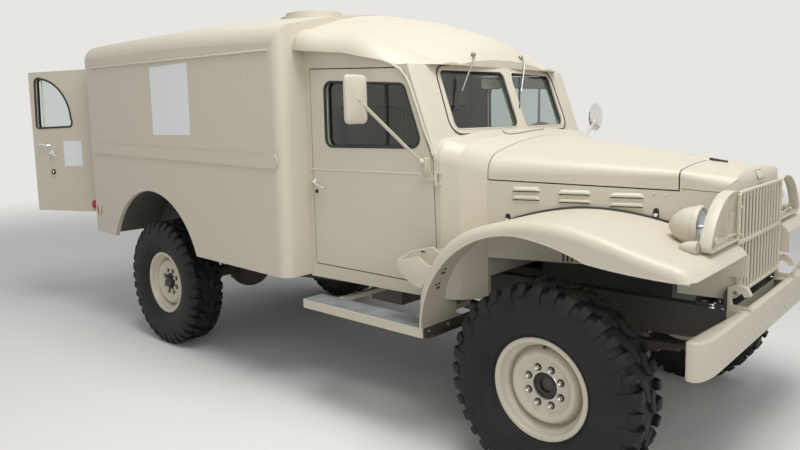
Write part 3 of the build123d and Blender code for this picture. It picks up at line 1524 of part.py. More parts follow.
# Rear frame again: the pins and their brackets beside each leaf
with BuildPart() as rear_frame_hinged:
    add(rear_frame.part)
    for side in (-1, 1):
        for hinge_z in rear_hinge_heights:
            with Locations((body_rear_x - 20, side * rear_door_hinge_y, hinge_z)):
                Cylinder(hinge_pin_radius, hinge_sleeve_height + 2 * hinge_bracket_height)
            for end in (-1, 1):
                bracket_z = hinge_z + end * (
                    hinge_sleeve_height / 2 + hinge_bracket_gap + hinge_bracket_height / 2
                )
                with Locations((body_rear_x - 20, side * rear_door_hinge_y, bracket_z)):
                    Cylinder(hinge_sleeve_radius - 2, hinge_bracket_height)
                with Locations((body_rear_x - 11, side * (rear_door_hinge_y + 18), bracket_z)):
                    Box(24, 36, hinge_bracket_height)
rear_frame_hinged.part.label = "rear_frame"
export_step(rear_frame_hinged.part, "parts/rear_frame.step")

# Seats: two frames in the cab with separate pads
seat_centre_y = 372
seat_half_width = 225
seat_front_x = aft(1060)
seat_rear_x = aft(1490)
seat_pad_low_z = 1085
seat_pad_high_z = 1185
seat_back_high_z = 1660
seat_panel = 12
with BuildPart() as seat_frames:
    for side in (-1, 1):
        with Locations(
            ((seat_front_x + seat_rear_x) / 2, side * seat_centre_y, (floor_top_z + seat_pad_low_z) / 2 + seat_gap)
        ):
            Box(seat_front_x - seat_rear_x, 2 * seat_half_width, seat_pad_low_z - floor_top_z - 2 * seat_gap)
            Box(
                seat_front_x - seat_rear_x - 2 * seat_panel,
                2 * (seat_half_width - seat_panel),
                seat_pad_low_z - floor_top_z - 2 * seat_panel,
                mode=Mode.SUBTRACT,
            )
        with Locations((seat_rear_x + 6, side * seat_centre_y, (floor_top_z + seat_back_high_z) / 2)):
            Box(12, 2 * seat_half_width, seat_back_high_z - floor_top_z - 2 * seat_gap)
seat_frames.part.label = "seat_frames"
export_step(seat_frames.part, "parts/seat_frames.step")
with BuildPart() as seat_pads:
    for side in (-1, 1):
        with Locations(
            ((seat_front_x + seat_rear_x) / 2 + 8, side * seat_centre_y, (seat_pad_low_z + seat_pad_high_z) / 2)
        ):
            Box(seat_front_x - seat_rear_x - 8, 2 * seat_half_width, seat_pad_high_z - seat_pad_low_z)
        with Locations(
            (seat_rear_x + 12 + seat_gap + 45, side * seat_centre_y, (seat_pad_high_z + seat_back_high_z) / 2)
        ):
            Box(90, 2 * seat_half_width, seat_back_high_z - seat_pad_high_z)
    fillet(seat_pads.edges().filter_by(Axis.Y).sort_by(Axis.X)[-4:], 24)
seat_pads.part.label = "seat_pads"
export_step(seat_pads.part, "parts/seat_pads.step")

# Benches along the load space, frames and pads
bench_inner_y = 470
bench_front_x = aft(2700)
bench_rear_x = aft(3840)
bench_top_z = 1170
bench_pad = 60
bench_wall_y = inner_body_y - 4
with BuildPart() as bench_frames:
    for side in (-1, 1):
        for leg_x in (bench_rear_x + 30, bench_front_x - 30):
            with Locations((leg_x, side * (bench_inner_y + 30), (floor_top_z + bench_top_z) / 2)):
                Box(30, 30, bench_top_z - floor_top_z - 2 * seat_gap)
        with Locations(
            ((bench_front_x + bench_rear_x) / 2, side * (bench_inner_y + inner_body_y - seat_gap) / 2, bench_top_z - 12)
        ):
            Box(bench_front_x - bench_rear_x, inner_body_y - bench_inner_y - seat_gap, 24)
bench_frames.part.label = "bench_frames"
export_step(bench_frames.part, "parts/bench_frames.step")
with BuildPart() as bench_pads:
    for side in (-1, 1):
        with Locations((
            (bench_front_x + bench_rear_x) / 2,
            side * (bench_inner_y + bench_wall_y) / 2,
            bench_top_z + seat_gap + bench_pad / 2,
        )):
            Box(bench_front_x - bench_rear_x, bench_wall_y - bench_inner_y, bench_pad)
    fillet(bench_pads.edges().filter_by(Axis.X), 16)
bench_pads.part.label = "bench_pads"
export_step(bench_pads.part, "parts/bench_pads.step")

# Dashboard under the cowl, with the steering column
dash_x = aft(696)
dash_half_width = 640
dash_low_z = 1325
dash_shoulder = 84
column_y = seat_centre_y
column_low = Vector(firewall_x - seat_gap - 6, column_y, 985)
column_high = Vector(aft(880), column_y, 1375)
column_dir = (column_high - column_low).normalized()
column_radius = 20
wheel_hub_depth = 30
column_bracket_z = 1262
with BuildPart() as dashboard:
    extrude(crowned_section(dash_x, dash_half_width, 1374, 1496, dash_low_z, dash_shoulder), amount=sheet)
    with Locations((dash_x + sheet / 2, column_y, column_bracket_z)):
        Box(sheet, 50, 150)
    with BuildSketch(Plane(origin=column_low, z_dir=column_dir)):
        Circle(column_radius)
    extrude(amount=(column_high - column_low).length)
    with Locations((firewall_x - seat_gap - 4, column_y, 985)):
        Box(8, 90, 90)
    add(cowl_cut.part, mode=Mode.SUBTRACT)
    add(windshield_frame.part, mode=Mode.SUBTRACT)
dashboard.part.label = "dashboard"
export_step(dashboard.part, "parts/dashboard.step")

# Steering wheel on the end of the column
steering_radius = 205
steering_rod = 11
wheel_centre = column_high + column_dir * (seat_gap + wheel_hub_depth / 2)
with BuildPart() as steering_wheel:
    with Locations(Plane(origin=wheel_centre, z_dir=column_dir)):
        Torus(steering_radius, steering_rod)
        Cylinder(36, wheel_hub_depth)
        for spoke_angle in (90, 210, 330):
            with Locations(Rotation(0, 0, spoke_angle)):
                Box(steering_radius, 16, 8, align=(Align.MIN, Align.CENTER, Align.CENTER))
steering_wheel.part.label = "steering_wheel"
export_step(steering_wheel.part, "parts/steering_wheel.step")

# Rear step behind the frame
step_depth = 170
step_half_width = 430
step_top_z = 560
with BuildPart() as rear_step:
    with Locations((frame_rear_x - seat_gap - 8 - step_depth / 2, 0, step_top_z - 10)):
        Box(step_depth, 2 * step_half_width, 20)
    for side in (-1, 1):
        with Locations((frame_rear_x - seat_gap, side * (rail_outer_y - rail_width / 2), step_top_z - 20)):
            Box(8, rail_width, rail_top_z - step_top_z + 20, align=(Align.MAX, Align.CENTER, Align.MIN))
rear_step.part.label = "rear_step"
export_step(rear_step.part, "parts/rear_step.step")

# Mirrors on arms from the doors' front edges: a tall one on the right, a round one on the left
mirror_foot_x = aft(714)
mirror_foot_z = 1352
mirror_arm_radius = 8
foot_y = cab_half_width(mirror_foot_x) + seat_gap
# Mirror columns: side name, side, head centre
mirror_places = [("right", -1, Vector(aft(740), -1200, 1670)), ("left", 1, Vector(aft(780), 1175, 1560))]
for side_name, side, head in mirror_places:
    with BuildPart() as mirror_part:
        with Locations(
            Plane(origin=(mirror_foot_x, side * foot_y, mirror_foot_z), z_dir=(sin(cab_taper), side * cos(cab_taper), 0))
        ):
            Cylinder(22, 14, align=(Align.CENTER, Align.CENTER, Align.MIN))
        arm_start = Vector(mirror_foot_x, side * (foot_y + 10), mirror_foot_z)
        with BuildSketch(Plane(origin=arm_start, z_dir=head - arm_start)):
            Circle(mirror_arm_radius)
        extrude(amount=(head - arm_start).length)
        with Locations(head):
            if side_name == "right":
                Box(36, 132, 215)
            else:
                Cylinder(95, 26, rotation=(0, 90, 0))
    mirror_part.part.label = "mirror_" + side_name
    export_step(mirror_part.part, "parts/mirror_" + side_name + ".step")
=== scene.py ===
import bpy
import bmesh
import math
from mathutils import Matrix, Vector


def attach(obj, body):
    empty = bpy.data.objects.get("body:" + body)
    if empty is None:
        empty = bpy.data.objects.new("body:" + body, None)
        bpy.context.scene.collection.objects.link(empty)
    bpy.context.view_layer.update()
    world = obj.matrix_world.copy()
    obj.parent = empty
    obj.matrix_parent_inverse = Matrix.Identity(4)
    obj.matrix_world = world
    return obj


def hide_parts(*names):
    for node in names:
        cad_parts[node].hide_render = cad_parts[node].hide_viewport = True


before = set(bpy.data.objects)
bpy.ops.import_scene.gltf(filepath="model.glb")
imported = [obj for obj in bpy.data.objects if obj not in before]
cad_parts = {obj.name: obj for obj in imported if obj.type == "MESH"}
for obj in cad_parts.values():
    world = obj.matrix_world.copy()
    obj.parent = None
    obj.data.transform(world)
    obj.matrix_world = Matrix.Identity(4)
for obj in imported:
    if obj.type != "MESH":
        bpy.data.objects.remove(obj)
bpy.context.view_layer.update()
bpy.ops.object.select_all(action="DESELECT")

# The camera stands at the right front, a little above the hood, where the photograph was taken.
# It looks along the truck at a shallow angle, so the open rear door shows behind the body.
camera_turn = [math.radians(a) for a in (83.3476, 1.3247, 42.2162)]
bpy.ops.object.camera_add(location=(3.4408, -3.2904, 1.5857), rotation=camera_turn)
camera = bpy.context.object
camera.data.sensor_width = 36
camera.data.lens = 30.419
camera.data.shift_y = -0.03565
camera.data.clip_end = 200
bpy.context.scene.camera = camera
bpy.context.scene.view_settings.view_transform = "Standard"


# The room is a wide pale floor that fades into an equally pale background.
# Soft light comes from the whole sky, with one broad lamp from above and one from the right.
def set_inputs(node, inputs):
    """Sets a node's inputs by name or number, each to a value or to the output of another node."""
    for key, value in inputs.items():
        if isinstance(value, bpy.types.NodeSocket):
            node.id_data.links.new(value, node.inputs[key])
        else:
            node.inputs[key].default_value = value


def add_node(tree, kind, inputs=None, **properties):
    """Adds a node with its properties and inputs."""
    node = tree.nodes.new("ShaderNode" + kind)
    for key, value in properties.items():
        setattr(node, key, value)
    set_inputs(node, inputs or {})
    return node


bpy.ops.mesh.primitive_circle_add(vertices=96, radius=40, fill_type="NGON", location=(0, 0, 0))
studio_floor = bpy.context.object
studio_floor.name = "studio_floor"
pale_room = (0.8, 0.79, 0.77, 1)
floor_paper = bpy.data.materials.new("floor_paper")
floor_paper.use_nodes = True
tree = floor_paper.node_tree
tree.nodes.clear()
far = add_node(tree, "VectorMath", {0: add_node(tree, "TexCoord").outputs["Object"]}, operation="LENGTH")
fade = add_node(tree, "MapRange", {"Value": far.outputs["Value"], "From Min": 5.5, "From Max": 13},
    interpolation_type="SMOOTHSTEP")
matt = add_node(tree, "BsdfDiffuse", {"Color": pale_room})
glow = add_node(tree, "Emission", {"Color": pale_room, "Strength": 1.0})
mixed = add_node(tree, "MixShader", {0: fade.outputs[0], 1: matt.outputs[0], 2: glow.outputs[0]})
add_node(tree, "OutputMaterial", {"Surface": mixed.outputs[0]})
studio_floor.data.materials.append(floor_paper)

studio_sky = bpy.data.worlds.new("studio_sky")
bpy.context.scene.world = studio_sky
studio_sky.use_nodes = True
tree = studio_sky.node_tree
tree.nodes.clear()
ray = add_node(tree, "LightPath").outputs
seen = add_node(tree, "Math", {0: ray["Is Camera Ray"], 1: ray["Is Glossy Ray"]}, operation="MAXIMUM")
seen = add_node(tree, "Math", {0: seen.outputs[0], 1: ray["Is Transmission Ray"]}, operation="MAXIMUM")
lit = add_node(tree, "Background", {"Color": (0.97, 0.98, 1.0, 1), "Strength": 0.4})
shown = add_node(tree, "Background", {"Color": pale_room, "Strength": 1.0})
mixed = add_node(tree, "MixShader", {0: seen.outputs[0], 1: lit.outputs[0], 2: shown.outputs[0]})
add_node(tree, "OutputWorld", {"Surface": mixed.outputs[0]})

# Lamp columns: name, place, diameter, power in watts
for lamp_name, lamp_place, lamp_size, lamp_power in (
        ("lamp_above", (2.6, -1.2, 6.5), 4.0, 330),
        ("lamp_front", (6.5, -4.5, 3.5), 4.0, 85)):
    bpy.ops.object.light_add(type="AREA", location=lamp_place)
    lamp = bpy.context.object
    lamp.name = lamp_name
    lamp.data.shape = "DISK"
    lamp.data.size = lamp_size
    lamp.data.energy = lamp_power
    lamp.rotation_euler = (Vector((-0.2, 0, 0.9)) - Vector(lamp_place)).to_track_quat("-Z", "Y").to_euler()


# The chassis is two pressed channel rails with riveted cross members, painted in one coat of dull enamel.
# Its front horns and the two hooks on them were sprayed with the body, so the colour changes ahead of the nose.
def aft(distance):
    """X of a station that lies this far behind the front axle, in metres."""
    return 2.03 - distance


sides = ((-1, "right"), (1, "left"))


def new_finish(name):
    """Starts a finish: the material, its tree and the object's own coordinates."""
    finish = bpy.data.materials.new(name)
    finish.use_nodes = True
    tree = finish.node_tree
    return finish, tree, add_node(tree, "TexCoord").outputs["Object"]


def complete(finish, inputs):
    """Feeds the finish's shader."""
    set_inputs(finish.node_tree.nodes["Principled BSDF"], inputs)
    return finish


def mottle(tree, place, scale, detail, rough=0.5, waver=0):
    """Adds a cloudy pattern."""
    inputs = {"Vector": place, "Scale": scale, "Detail": detail, "Roughness": rough, "Distortion": waver}
    return add_node(tree, "TexNoise", inputs).outputs["Fac"]


def blend(tree, amount, first, second):
    """Blends two colours by a pattern."""
    first, second = (c if isinstance(c, bpy.types.NodeSocket) else (*c, 1) for c in (first, second))
    return add_node(tree, "Mix", {0: amount, 6: first, 7: second}, data_type="RGBA").outputs[2]


def spread(tree, amount, low, high, start=0, stop=1.0):
    """Turns the start and stop of a pattern into a low and a high value."""
    inputs = {"Value": amount, "From Min": start, "From Max": stop, "To Min": low, "To Max": high}
    return add_node(tree, "MapRange", inputs).outputs[0]


def maths(tree, operation, a, b=0):
    """Joins two patterns by a sum."""
    return add_node(tree, "Math", {0: a, 1: b}, operation=operation).outputs[0]


def relief(tree, height, strength, distance, under=None):
    """Raises a pattern on the surface, over another relief where one is given."""
    inputs = {"Height": height, "Strength": strength, "Distance": distance}
    return add_node(tree, "Bump", {**inputs, "Normal": under} if under else inputs).outputs[0]


def enamel(name, colour, sheen=0.4, dust_top=0.9, dust=0.35, unevenness=0.03, second=None):
    """Makes enamel with a faint mottle, a brushed surface and dust towards the ground.

    A second colour can cover what lies between two stations, within a half width and below a height: a real second
    coat on the chassis, and painted shade in the wheel wells of the fenders and the body.
    """
    finish, tree, place = new_finish(name)
    clouds = mottle(tree, place, 2.3, 7, 0.62)
    split = add_node(tree, "SeparateXYZ", {0: place}).outputs
    low = spread(tree, split["Z"], dust, 0, 0.25, dust_top)
    dusty = maths(tree, "MULTIPLY", low, mottle(tree, place, 9.0, 8, 0.7))
    coat = blend(tree, clouds, [c * (1 - unevenness) for c in colour], [min(1, c * (1 + unevenness)) for c in colour])
    coat = blend(tree, dusty, coat, (0.33, 0.28, 0.21))
    if second:
        over, x_low, x_high, half_width, z_high = second
        covered = maths(tree, "GREATER_THAN", split["X"], x_low)
        for measure, limit in ((split["X"], x_high), (maths(tree, "ABSOLUTE", split["Y"]), half_width),
                (split["Z"], z_high)):
            covered = maths(tree, "MULTIPLY", covered, maths(tree, "LESS_THAN", measure, limit))
        coat = blend(tree, covered, coat, over)
    panel = relief(tree, mottle(tree, place, 5.0, 2), 0.22, 0.004)
    return complete(finish, {"Base Color": coat, "Roughness": spread(tree, clouds, sheen - 0.07, sheen + 0.12),
        "Normal": relief(tree, mottle(tree, place, 220.0, 2), 0.05, 0.0006, panel)})


def coat_nodes(finish, *names):
    """Gives CAD nodes one finish in every slot."""
    for name in names:
        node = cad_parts[name]
        node.data.materials.clear()
        node.data.materials.append(finish)


def trace(name, points):
    """Starts a piece as one vertex and extrudes it along the points. The piece is left in edit mode."""
    bpy.ops.object.select_all(action="DESELECT")
    bpy.ops.mesh.primitive_plane_add(size=0.01, location=points[0])
    piece = bpy.context.object
    piece.name = name
    bpy.ops.object.mode_set(mode="EDIT")
    bpy.ops.mesh.merge(type="CENTER")
    for here, there in zip(points, points[1:]):
        step = [b - a for a, b in zip(here, there)]
        bpy.ops.mesh.extrude_vertices_move(TRANSFORM_OT_translate={"value": step})
    bpy.ops.mesh.select_all(action="SELECT")
    return piece


def leave_edit(piece):
    """Merges doubles, turns the faces outwards and puts the piece's place into its mesh."""
    bpy.ops.mesh.select_all(action="SELECT")
    bpy.ops.mesh.remove_doubles(threshold=0.00002)
    bpy.ops.mesh.normals_make_consistent(inside=False)
    bpy.ops.object.mode_set(mode="OBJECT")
    bpy.ops.object.transform_apply(location=True, rotation=True, scale=True)
    return piece


def turn(name, profile, centre=(0, 0, 0), axis=(0, 0, 1), steps=48):
    """Spins a profile, points of distance along the axis and radius in millimetres, round the axis at the centre."""
    axis = Vector(axis).normalized()
    out = axis.orthogonal().normalized()
    piece = trace(name, [Vector(centre) + (axis * a + out * r) / 1000 for a, r in profile])
    bpy.ops.mesh.spin(steps=steps, angle=2 * math.pi, center=centre, axis=axis)
    return leave_edit(piece)


def pick(piece):
    """Selects one piece alone and makes it active."""
    bpy.ops.object.select_all(action="DESELECT")
    piece.select_set(True)
    bpy.context.view_layer.objects.active = piece


def shape_by(piece, kind, **settings):
    """Adds a modifier to a piece and applies it."""
    pick(piece)
    modifier = piece.modifiers.new(kind.lower(), kind)
    for key, value in settings.items():
        setattr(modifier, key, value)
    bpy.ops.object.modifier_apply(modifier=modifier.name)
    return piece


def soften(piece, width, rounds=2, angle=30):
    """Rounds the sharp edges of a piece."""
    return shape_by(piece, "BEVEL", width=width, segments=rounds, limit_method="ANGLE",
        angle_limit=math.radians(angle))


def fill(name, outline):
    """Traces a closed outline and fills it with one face. The piece is left in edit mode."""
    piece = trace(name, [*outline, outline[0]])
    bpy.ops.mesh.remove_doubles(threshold=0.00002)
    bpy.ops.mesh.select_all(action="SELECT")
    bpy.ops.mesh.edge_face_add()
    return piece


def push_out(step, scale=None, centre=(0, 0, 0)):
    """Extrudes what is selected, and scales it about a centre where asked."""
    bpy.ops.mesh.extrude_region_move(TRANSFORM_OT_translate={"value": step})
    if scale:
        bpy.ops.transform.resize(value=scale, center_override=centre)


def plate(name, outline, step, edge=0.001, rounds=2):
    """Fills a closed outline, pushes it out to a plate and rounds its edges."""
    piece = fill(name, outline)
    push_out(step)
    leave_edit(piece)
    return soften(piece, edge, rounds) if edge else piece


def tube(name, points, radius, closed=False, sides=3):
    """Gives a line through the points a round section."""
    piece = trace(name, list(points) + ([points[0]] if closed else []))
    bpy.ops.mesh.remove_doubles(threshold=0.00002)
    bpy.ops.object.mode_set(mode="OBJECT")
    bpy.ops.object.convert(target="CURVE")
    piece = bpy.context.object
    piece.data.bevel_depth = radius
    piece.data.bevel_resolution = sides
    piece.data.use_fill_caps = not closed
    bpy.ops.object.convert(target="MESH")
    piece = bpy.context.object
    bpy.ops.object.mode_set(mode="EDIT")
    return leave_edit(piece)


def copy_of(piece, place):
    """Copies a piece with its own mesh to a place."""
    twin = piece.copy()
    twin.data = piece.data.copy()
    twin.data.transform(place)
    bpy.context.collection.objects.link(twin)
    return twin


def repeat(piece, name, places):
    """Copies a piece to every place and joins the copies."""
    copies = [copy_of(piece, place) for place in places]
    bpy.data.objects.remove(piece)
    return join(name, *copies)


def join(name, *pieces):
    """Joins pieces into one."""
    bpy.ops.object.select_all(action="DESELECT")
    for piece in pieces:
        piece.select_set(True)
    bpy.context.view_layer.objects.active = pieces[0]
    if len(pieces) > 1:
        bpy.ops.object.join()
    pieces[0].name = name
    return pieces[0]


def facing(place, out=(0, 0, 1), spin=0, size=1):
    """Place matrix for a piece that was made at the origin and looks along +Z."""
    way = Vector((0, 0, 1)).rotation_difference(Vector(out)).to_matrix().to_4x4()
    return Matrix.Translation(Vector(place)) @ way @ Matrix.Rotation(spin, 4, "Z") @ Matrix.Scale(size, 4)


def fit(piece, finish, body="truck", smooth=38):
    """Shades a finished piece, coats it and lets it ride on its body. A piece with no finish given keeps its own."""
    pick(piece)
    bpy.ops.object.shade_smooth_by_angle(angle=math.radians(smooth))
    if finish:
        piece.data.materials.clear()
        piece.data.materials.append(finish)
    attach(piece, body)
    return piece


def rivet():
    """Models one round rivet head on a flat face."""
    return turn("rivet", [(-1, 0), (-1, 6.5), (1.2, 6), (3.2, 3.5), (4, 0)], steps=10)


def bolt(head, height):
    """Models one six-sided bolt head on a round washer, in millimetres."""
    washer = turn("washer", [(-1, 0), (-1, head * 1.5), (1.8, head * 1.45), (1.8, 0)], steps=16)
    top = turn("bolt_head", [(0, 0), (0, head), (height * 0.8, head), (height, head * 0.82), (height, 0)], steps=6)
    return join("bolt", washer, top)


sand = (0.58, 0.538, 0.432)
chassis_enamel = enamel("chassis_enamel", (0.04, 0.038, 0.035), 0.55, 1.0, 0.35, second=(sand, 2.6, 9.0, 9.0, 9.0))
coat_nodes(chassis_enamel, "frame")
rail_rivets = repeat(rivet(), "rail_rivets", [facing((x + dx, side * 0.385, z), (0, side, 0))
    for side in (-1, 1) for x in (aft(3.85), aft(3.15), aft(2.45), aft(1.75), aft(1.05))
    for dx in (-0.02, 0.02) for z in (0.655, 0.7, 0.745)])
fit(rail_rivets, chassis_enamel)

# Springs, axles and driveline are forged and cast steel in black chassis paint, dulled by road dust.
# Each spring pack is clamped to its axle by two bent rods with nuts, and the differential cases are bolted shut.
running_gear_paint = enamel("running_gear_paint", (0.03, 0.028, 0.026), 0.6, 1.1, 0.5)
coat_nodes(running_gear_paint, "front_axle", "rear_axle", "leaf_springs", "driveline", "knuckle_left",
    "knuckle_right")
spring_y = 0.354
axle_z = 0.445
wheelbase = 3.073
clamps = []
for axle_x in (aft(0), aft(wheelbase)):
    for side in (-1, 1):
        for dx in (-0.062, 0.062):
            hoop = [(axle_x + dx, side * spring_y + y, z) for y, z in ((-0.036, 0.39), (-0.036, 0.552),
                (-0.028, 0.562), (0.028, 0.562), (0.036, 0.552), (0.036, 0.39))]
            clamps.append(tube("clamp_rod", hoop, 0.008, sides=2))
fit(join("spring_clamps", *clamps), running_gear_paint)
case_bolts = repeat(bolt(9, 8), "differential_bolts", [
    facing((axle_x + way * 0.138, -0.18 + 0.088 * math.cos(a), axle_z + 0.088 * math.sin(a)),
        (way * 0.84, 0.535 * math.cos(a), 0.535 * math.sin(a)))
    for axle_x, way in ((aft(0), 1), (aft(wheelbase), -1)) for a in [math.radians(30 * i) for i in range(12)]])
fit(case_bolts, running_gear_paint)

# The engine is one plain cast block with its beam, and the radiator a black core of fine upright fins.
# The silencer and its pipe are bare steel that has browned, and the fuel tank is painted sheet with two straps.
engine_grey = enamel("engine_grey", (0.085, 0.092, 0.085), 0.55, 1.2, 0.3)
coat_nodes(engine_grey, "engine")


def waves(tree, place, axis, scale):
    """Adds a pattern of parallel bands across one axis."""
    return add_node(tree, "TexWave", {"Vector": place, "Scale": scale}, bands_direction=axis).outputs["Fac"]


def fine_lines(name, dark, light, pitch, axis):
    """Makes a matt finish with fine parallel ridges across one axis, coloured lighter along the ridges and broken by
    a mottle.
    """
    finish, tree, place = new_finish(name)
    lines = waves(tree, place, axis, 0.314 / pitch)
    ridge_tone = maths(tree, "MULTIPLY", lines, mottle(tree, place, 14.0, 6))
    return complete(finish, {"Roughness": 0.6, "Base Color": blend(tree, ridge_tone, dark, light),
        "Normal": relief(tree, lines, 0.8, 0.0015)})


radiator_fins = fine_lines("radiator_fins", (0.012, 0.012, 0.012), (0.07, 0.068, 0.062), 0.006, "Y")
coat_nodes(radiator_fins, "radiator")
browned_steel = enamel("browned_steel", (0.115, 0.075, 0.05), 0.55, 0.9, 0.4, unevenness=0.25)
coat_nodes(browned_steel, "exhaust")
tank_paint = enamel("tank_paint", (0.05, 0.047, 0.04), 0.5, 1.0, 0.5)
coat_nodes(tank_paint, "fuel_tank")
band_ring = [(-12, 69.5), (-12, 72.5), (12, 72.5), (12, 69.5)]
bands = [turn("silencer_band", band_ring, (x, 0.24, 0.555), (1, 0, 0), 40)
    for x in (aft(2.235), aft(1.985), aft(1.705))]
fit(join("silencer_bands", *bands), browned_steel)
tank_straps = []
for strap_x in (aft(3.37), aft(3.65)):
    strap = trace("tank_strap", [(strap_x, y, z) for y, z in ((-0.262, 0.752), (-0.303, 0.712), (-0.303, 0.558),
        (-0.262, 0.517), (0.262, 0.517), (0.303, 0.558), (0.303, 0.712), (0.262, 0.752))])
    push_out((0.034, 0, 0))
    tank_straps.append(shape_by(leave_edit(strap), "SOLIDIFY", thickness=0.003, offset=0))
fit(join("tank_straps", *tank_straps), running_gear_paint)

# Tyres: cross-ply mud tyres with staggered blocks along the middle and thick lugs that wrap over the shoulders.
# They are moulded black rubber, dusty in the grooves, with raised rings on the sidewall.
tread_radius = 0.4443
middle_radius = 0.4405
lug_count = 18
tyre_rubber, tree, place = new_finish("tyre_rubber")
dust = mottle(tree, place, 5.0, 9, 0.65)
shown = spread(tree, dust, 0, 1.0, 0.42, 0.78)
complete(tyre_rubber, {"Specular IOR Level": 0.32, "Base Color": blend(tree, shown, (0.0062, 0.0063, 0.0068),
    (0.021, 0.0195, 0.0175)), "Roughness": spread(tree, dust, 0.48, 0.74), "Normal": relief(tree,
    mottle(tree, place, 160.0, 3), 0.25, 0.0008)})
sidewall = [(84.5, 203.5), (85, 225), (90.5, 233), (94.5, 234.5), (96.5, 238.5), (97.5, 242.5), (106, 256),
    (115, 276), (117.2, 278.5), (119, 283), (119.2, 288), (124, 306), (126.5, 328), (125.8, 356), (122.5, 383),
    (115, 406), (102, 419), (70, 423)]
ring = sidewall + [(0, 424)] + [(-a, r) for a, r in reversed(sidewall)] + [sidewall[0]]
carcass = turn("carcass", ring, axis=(0, 1, 0), steps=108)
long_lug = plate("long_lug", [(-0.023, a, r) for a, r in ((0.057, 0.415), (0.055, tread_radius),
    (0.099, tread_radius), (0.1185, 0.421), (0.1275, 0.392), (0.128, 0.364), (0.118, 0.36), (0.108, 0.405))],
    (0.046, 0, 0), 0.0028)
short_lug = plate("short_lug", [(-0.019, a, r) for a, r in ((0.074, 0.415), (0.072, tread_radius),
    (0.1, tread_radius), (0.119, 0.419), (0.124, 0.399), (0.116, 0.395), (0.108, 0.408))], (0.038, 0, 0), 0.0028)
middle_block = plate("middle_block", [(t, a, 0.418) for t, a in ((-0.06, 0.018), (-0.034, 0.003), (0.012, 0.005),
    (0.034, 0.026), (0.052, 0.058), (0.02, 0.064), (-0.004, 0.04), (-0.034, 0.042))], (0, 0, middle_radius - 0.418),
    0.0028)
pitch = 2 * math.pi / lug_count


def round_tyre(piece, name, start):
    """Sets a tread block round the tyre on both sides, half a pitch apart."""
    return repeat(piece, name, [
        Matrix.Rotation((i + start + 0.5 * side) * pitch, 4, "Y") @ Matrix.Rotation(math.pi * side, 4, "Z")
        for side in (0, 1) for i in range(lug_count)])


tyre = join("tyre_pattern", carcass, round_tyre(long_lug, "long_lugs", 0), round_tyre(short_lug, "short_lugs", 0.5),
    round_tyre(middle_block, "middle_blocks", 0.12))
wheel_y = 0.8225
# Wheel columns: node ending, body, centre, side that faces out
wheels = [(end + ending, "wheel_" + end + ending, (x, side * wheel_y, axle_z), side)
    for end, x in (("front_", aft(0)), ("rear_", aft(wheelbase))) for side, ending in sides]
wheels += [("spare", "truck", (aft(2.12), 0.8, 1.18), 1)]


def on_wheels(pattern, stem, finish, replaced=None, ends=("front", "rear", "spare")):
    """Sets a copy of a pattern piece on each wheel, turned to face out."""
    for ending, body, centre, out in wheels:
        if ending.startswith(ends):
            way = Matrix.Rotation(0 if out == 1 else math.pi, 4, "Z")
            piece = copy_of(pattern, Matrix.Translation(centre) @ way)
            piece.name = stem + "_" + ending
            fit(piece, finish, body)
            if replaced:
                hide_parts(replaced + "_" + ending)
    bpy.data.objects.remove(pattern)


on_wheels(tyre, "mud_tyre", tyre_rubber, "tyre")

# Wheels: rolled steel rims with a welded disc that swells to a ring inside the rim, in the body's sand enamel.
# Eight tapered nuts hold each one, and the hub shows black through the hole in the middle.
rim_enamel = enamel("rim_enamel", sand, 0.42, 0.75, 0.22, unevenness=0.05)
hub_black = enamel("hub_black", (0.012, 0.012, 0.012), 0.5, 0.6, 0.2)
rim_ring = [(92, 213), (90.5, 218.5), (87, 221), (85.5, 216.5), (85.5, 202.7), (58, 202.7), (40, 184), (-40, 184),
    (-58, 202.7), (-85.5, 202.7), (-86, 215), (-88, 221), (-92, 213), (-92, 197.5), (-60, 196), (-42, 177),
    (4, 176.5), (6, 168), (29, 160), (45, 149), (52.5, 140), (50, 130), (40, 117), (34.5, 104), (34, 65.5), (30, 60),
    (31, 59), (39, 59), (41.5, 61.5), (41.8, 66), (41.8, 100), (42.8, 108), (47, 116), (55.5, 126), (60.5, 134),
    (61, 142), (56, 150), (42, 159), (23, 166), (15, 170), (12.5, 173.5), (17, 176.5), (40, 177.5), (47, 183),
    (60, 194.5), (64, 196.2), (86, 198), (91, 202), (92, 213)]
rim = turn("rim_pattern", rim_ring, axis=(0, 1, 0), steps=108)
on_wheels(rim, "steel_wheel", rim_enamel, replaced="rim")
drum = turn("drum_pattern", [(29, 33), (29, 100), (24, 101), (23, 72), (-12, 68), (-16, 150), (-20, 165),
    (-30, 165.5), (-32, 162), (-50, 162), (-52, 165.5), (-78, 165), (-78, 153), (-28, 151), (-34, 58), (-70, 58),
    (-70, 33), (29, 33)], axis=(0, 1, 0), steps=72)
on_wheels(drum, "brake_drum", hub_black, ends=("front", "rear"))


def metal(name, colour, roughness, scale=60.0):
    """Makes bare metal with fine scratches."""
    finish, tree, place = new_finish(name)
    wear = mottle(tree, place, scale, 6)
    return complete(finish, {"Metallic": 1.0, "Base Color": blend(tree, wear, [c * 0.8 for c in colour], colour),
        "Roughness": spread(tree, wear, roughness * 0.7, roughness * 1.3)})


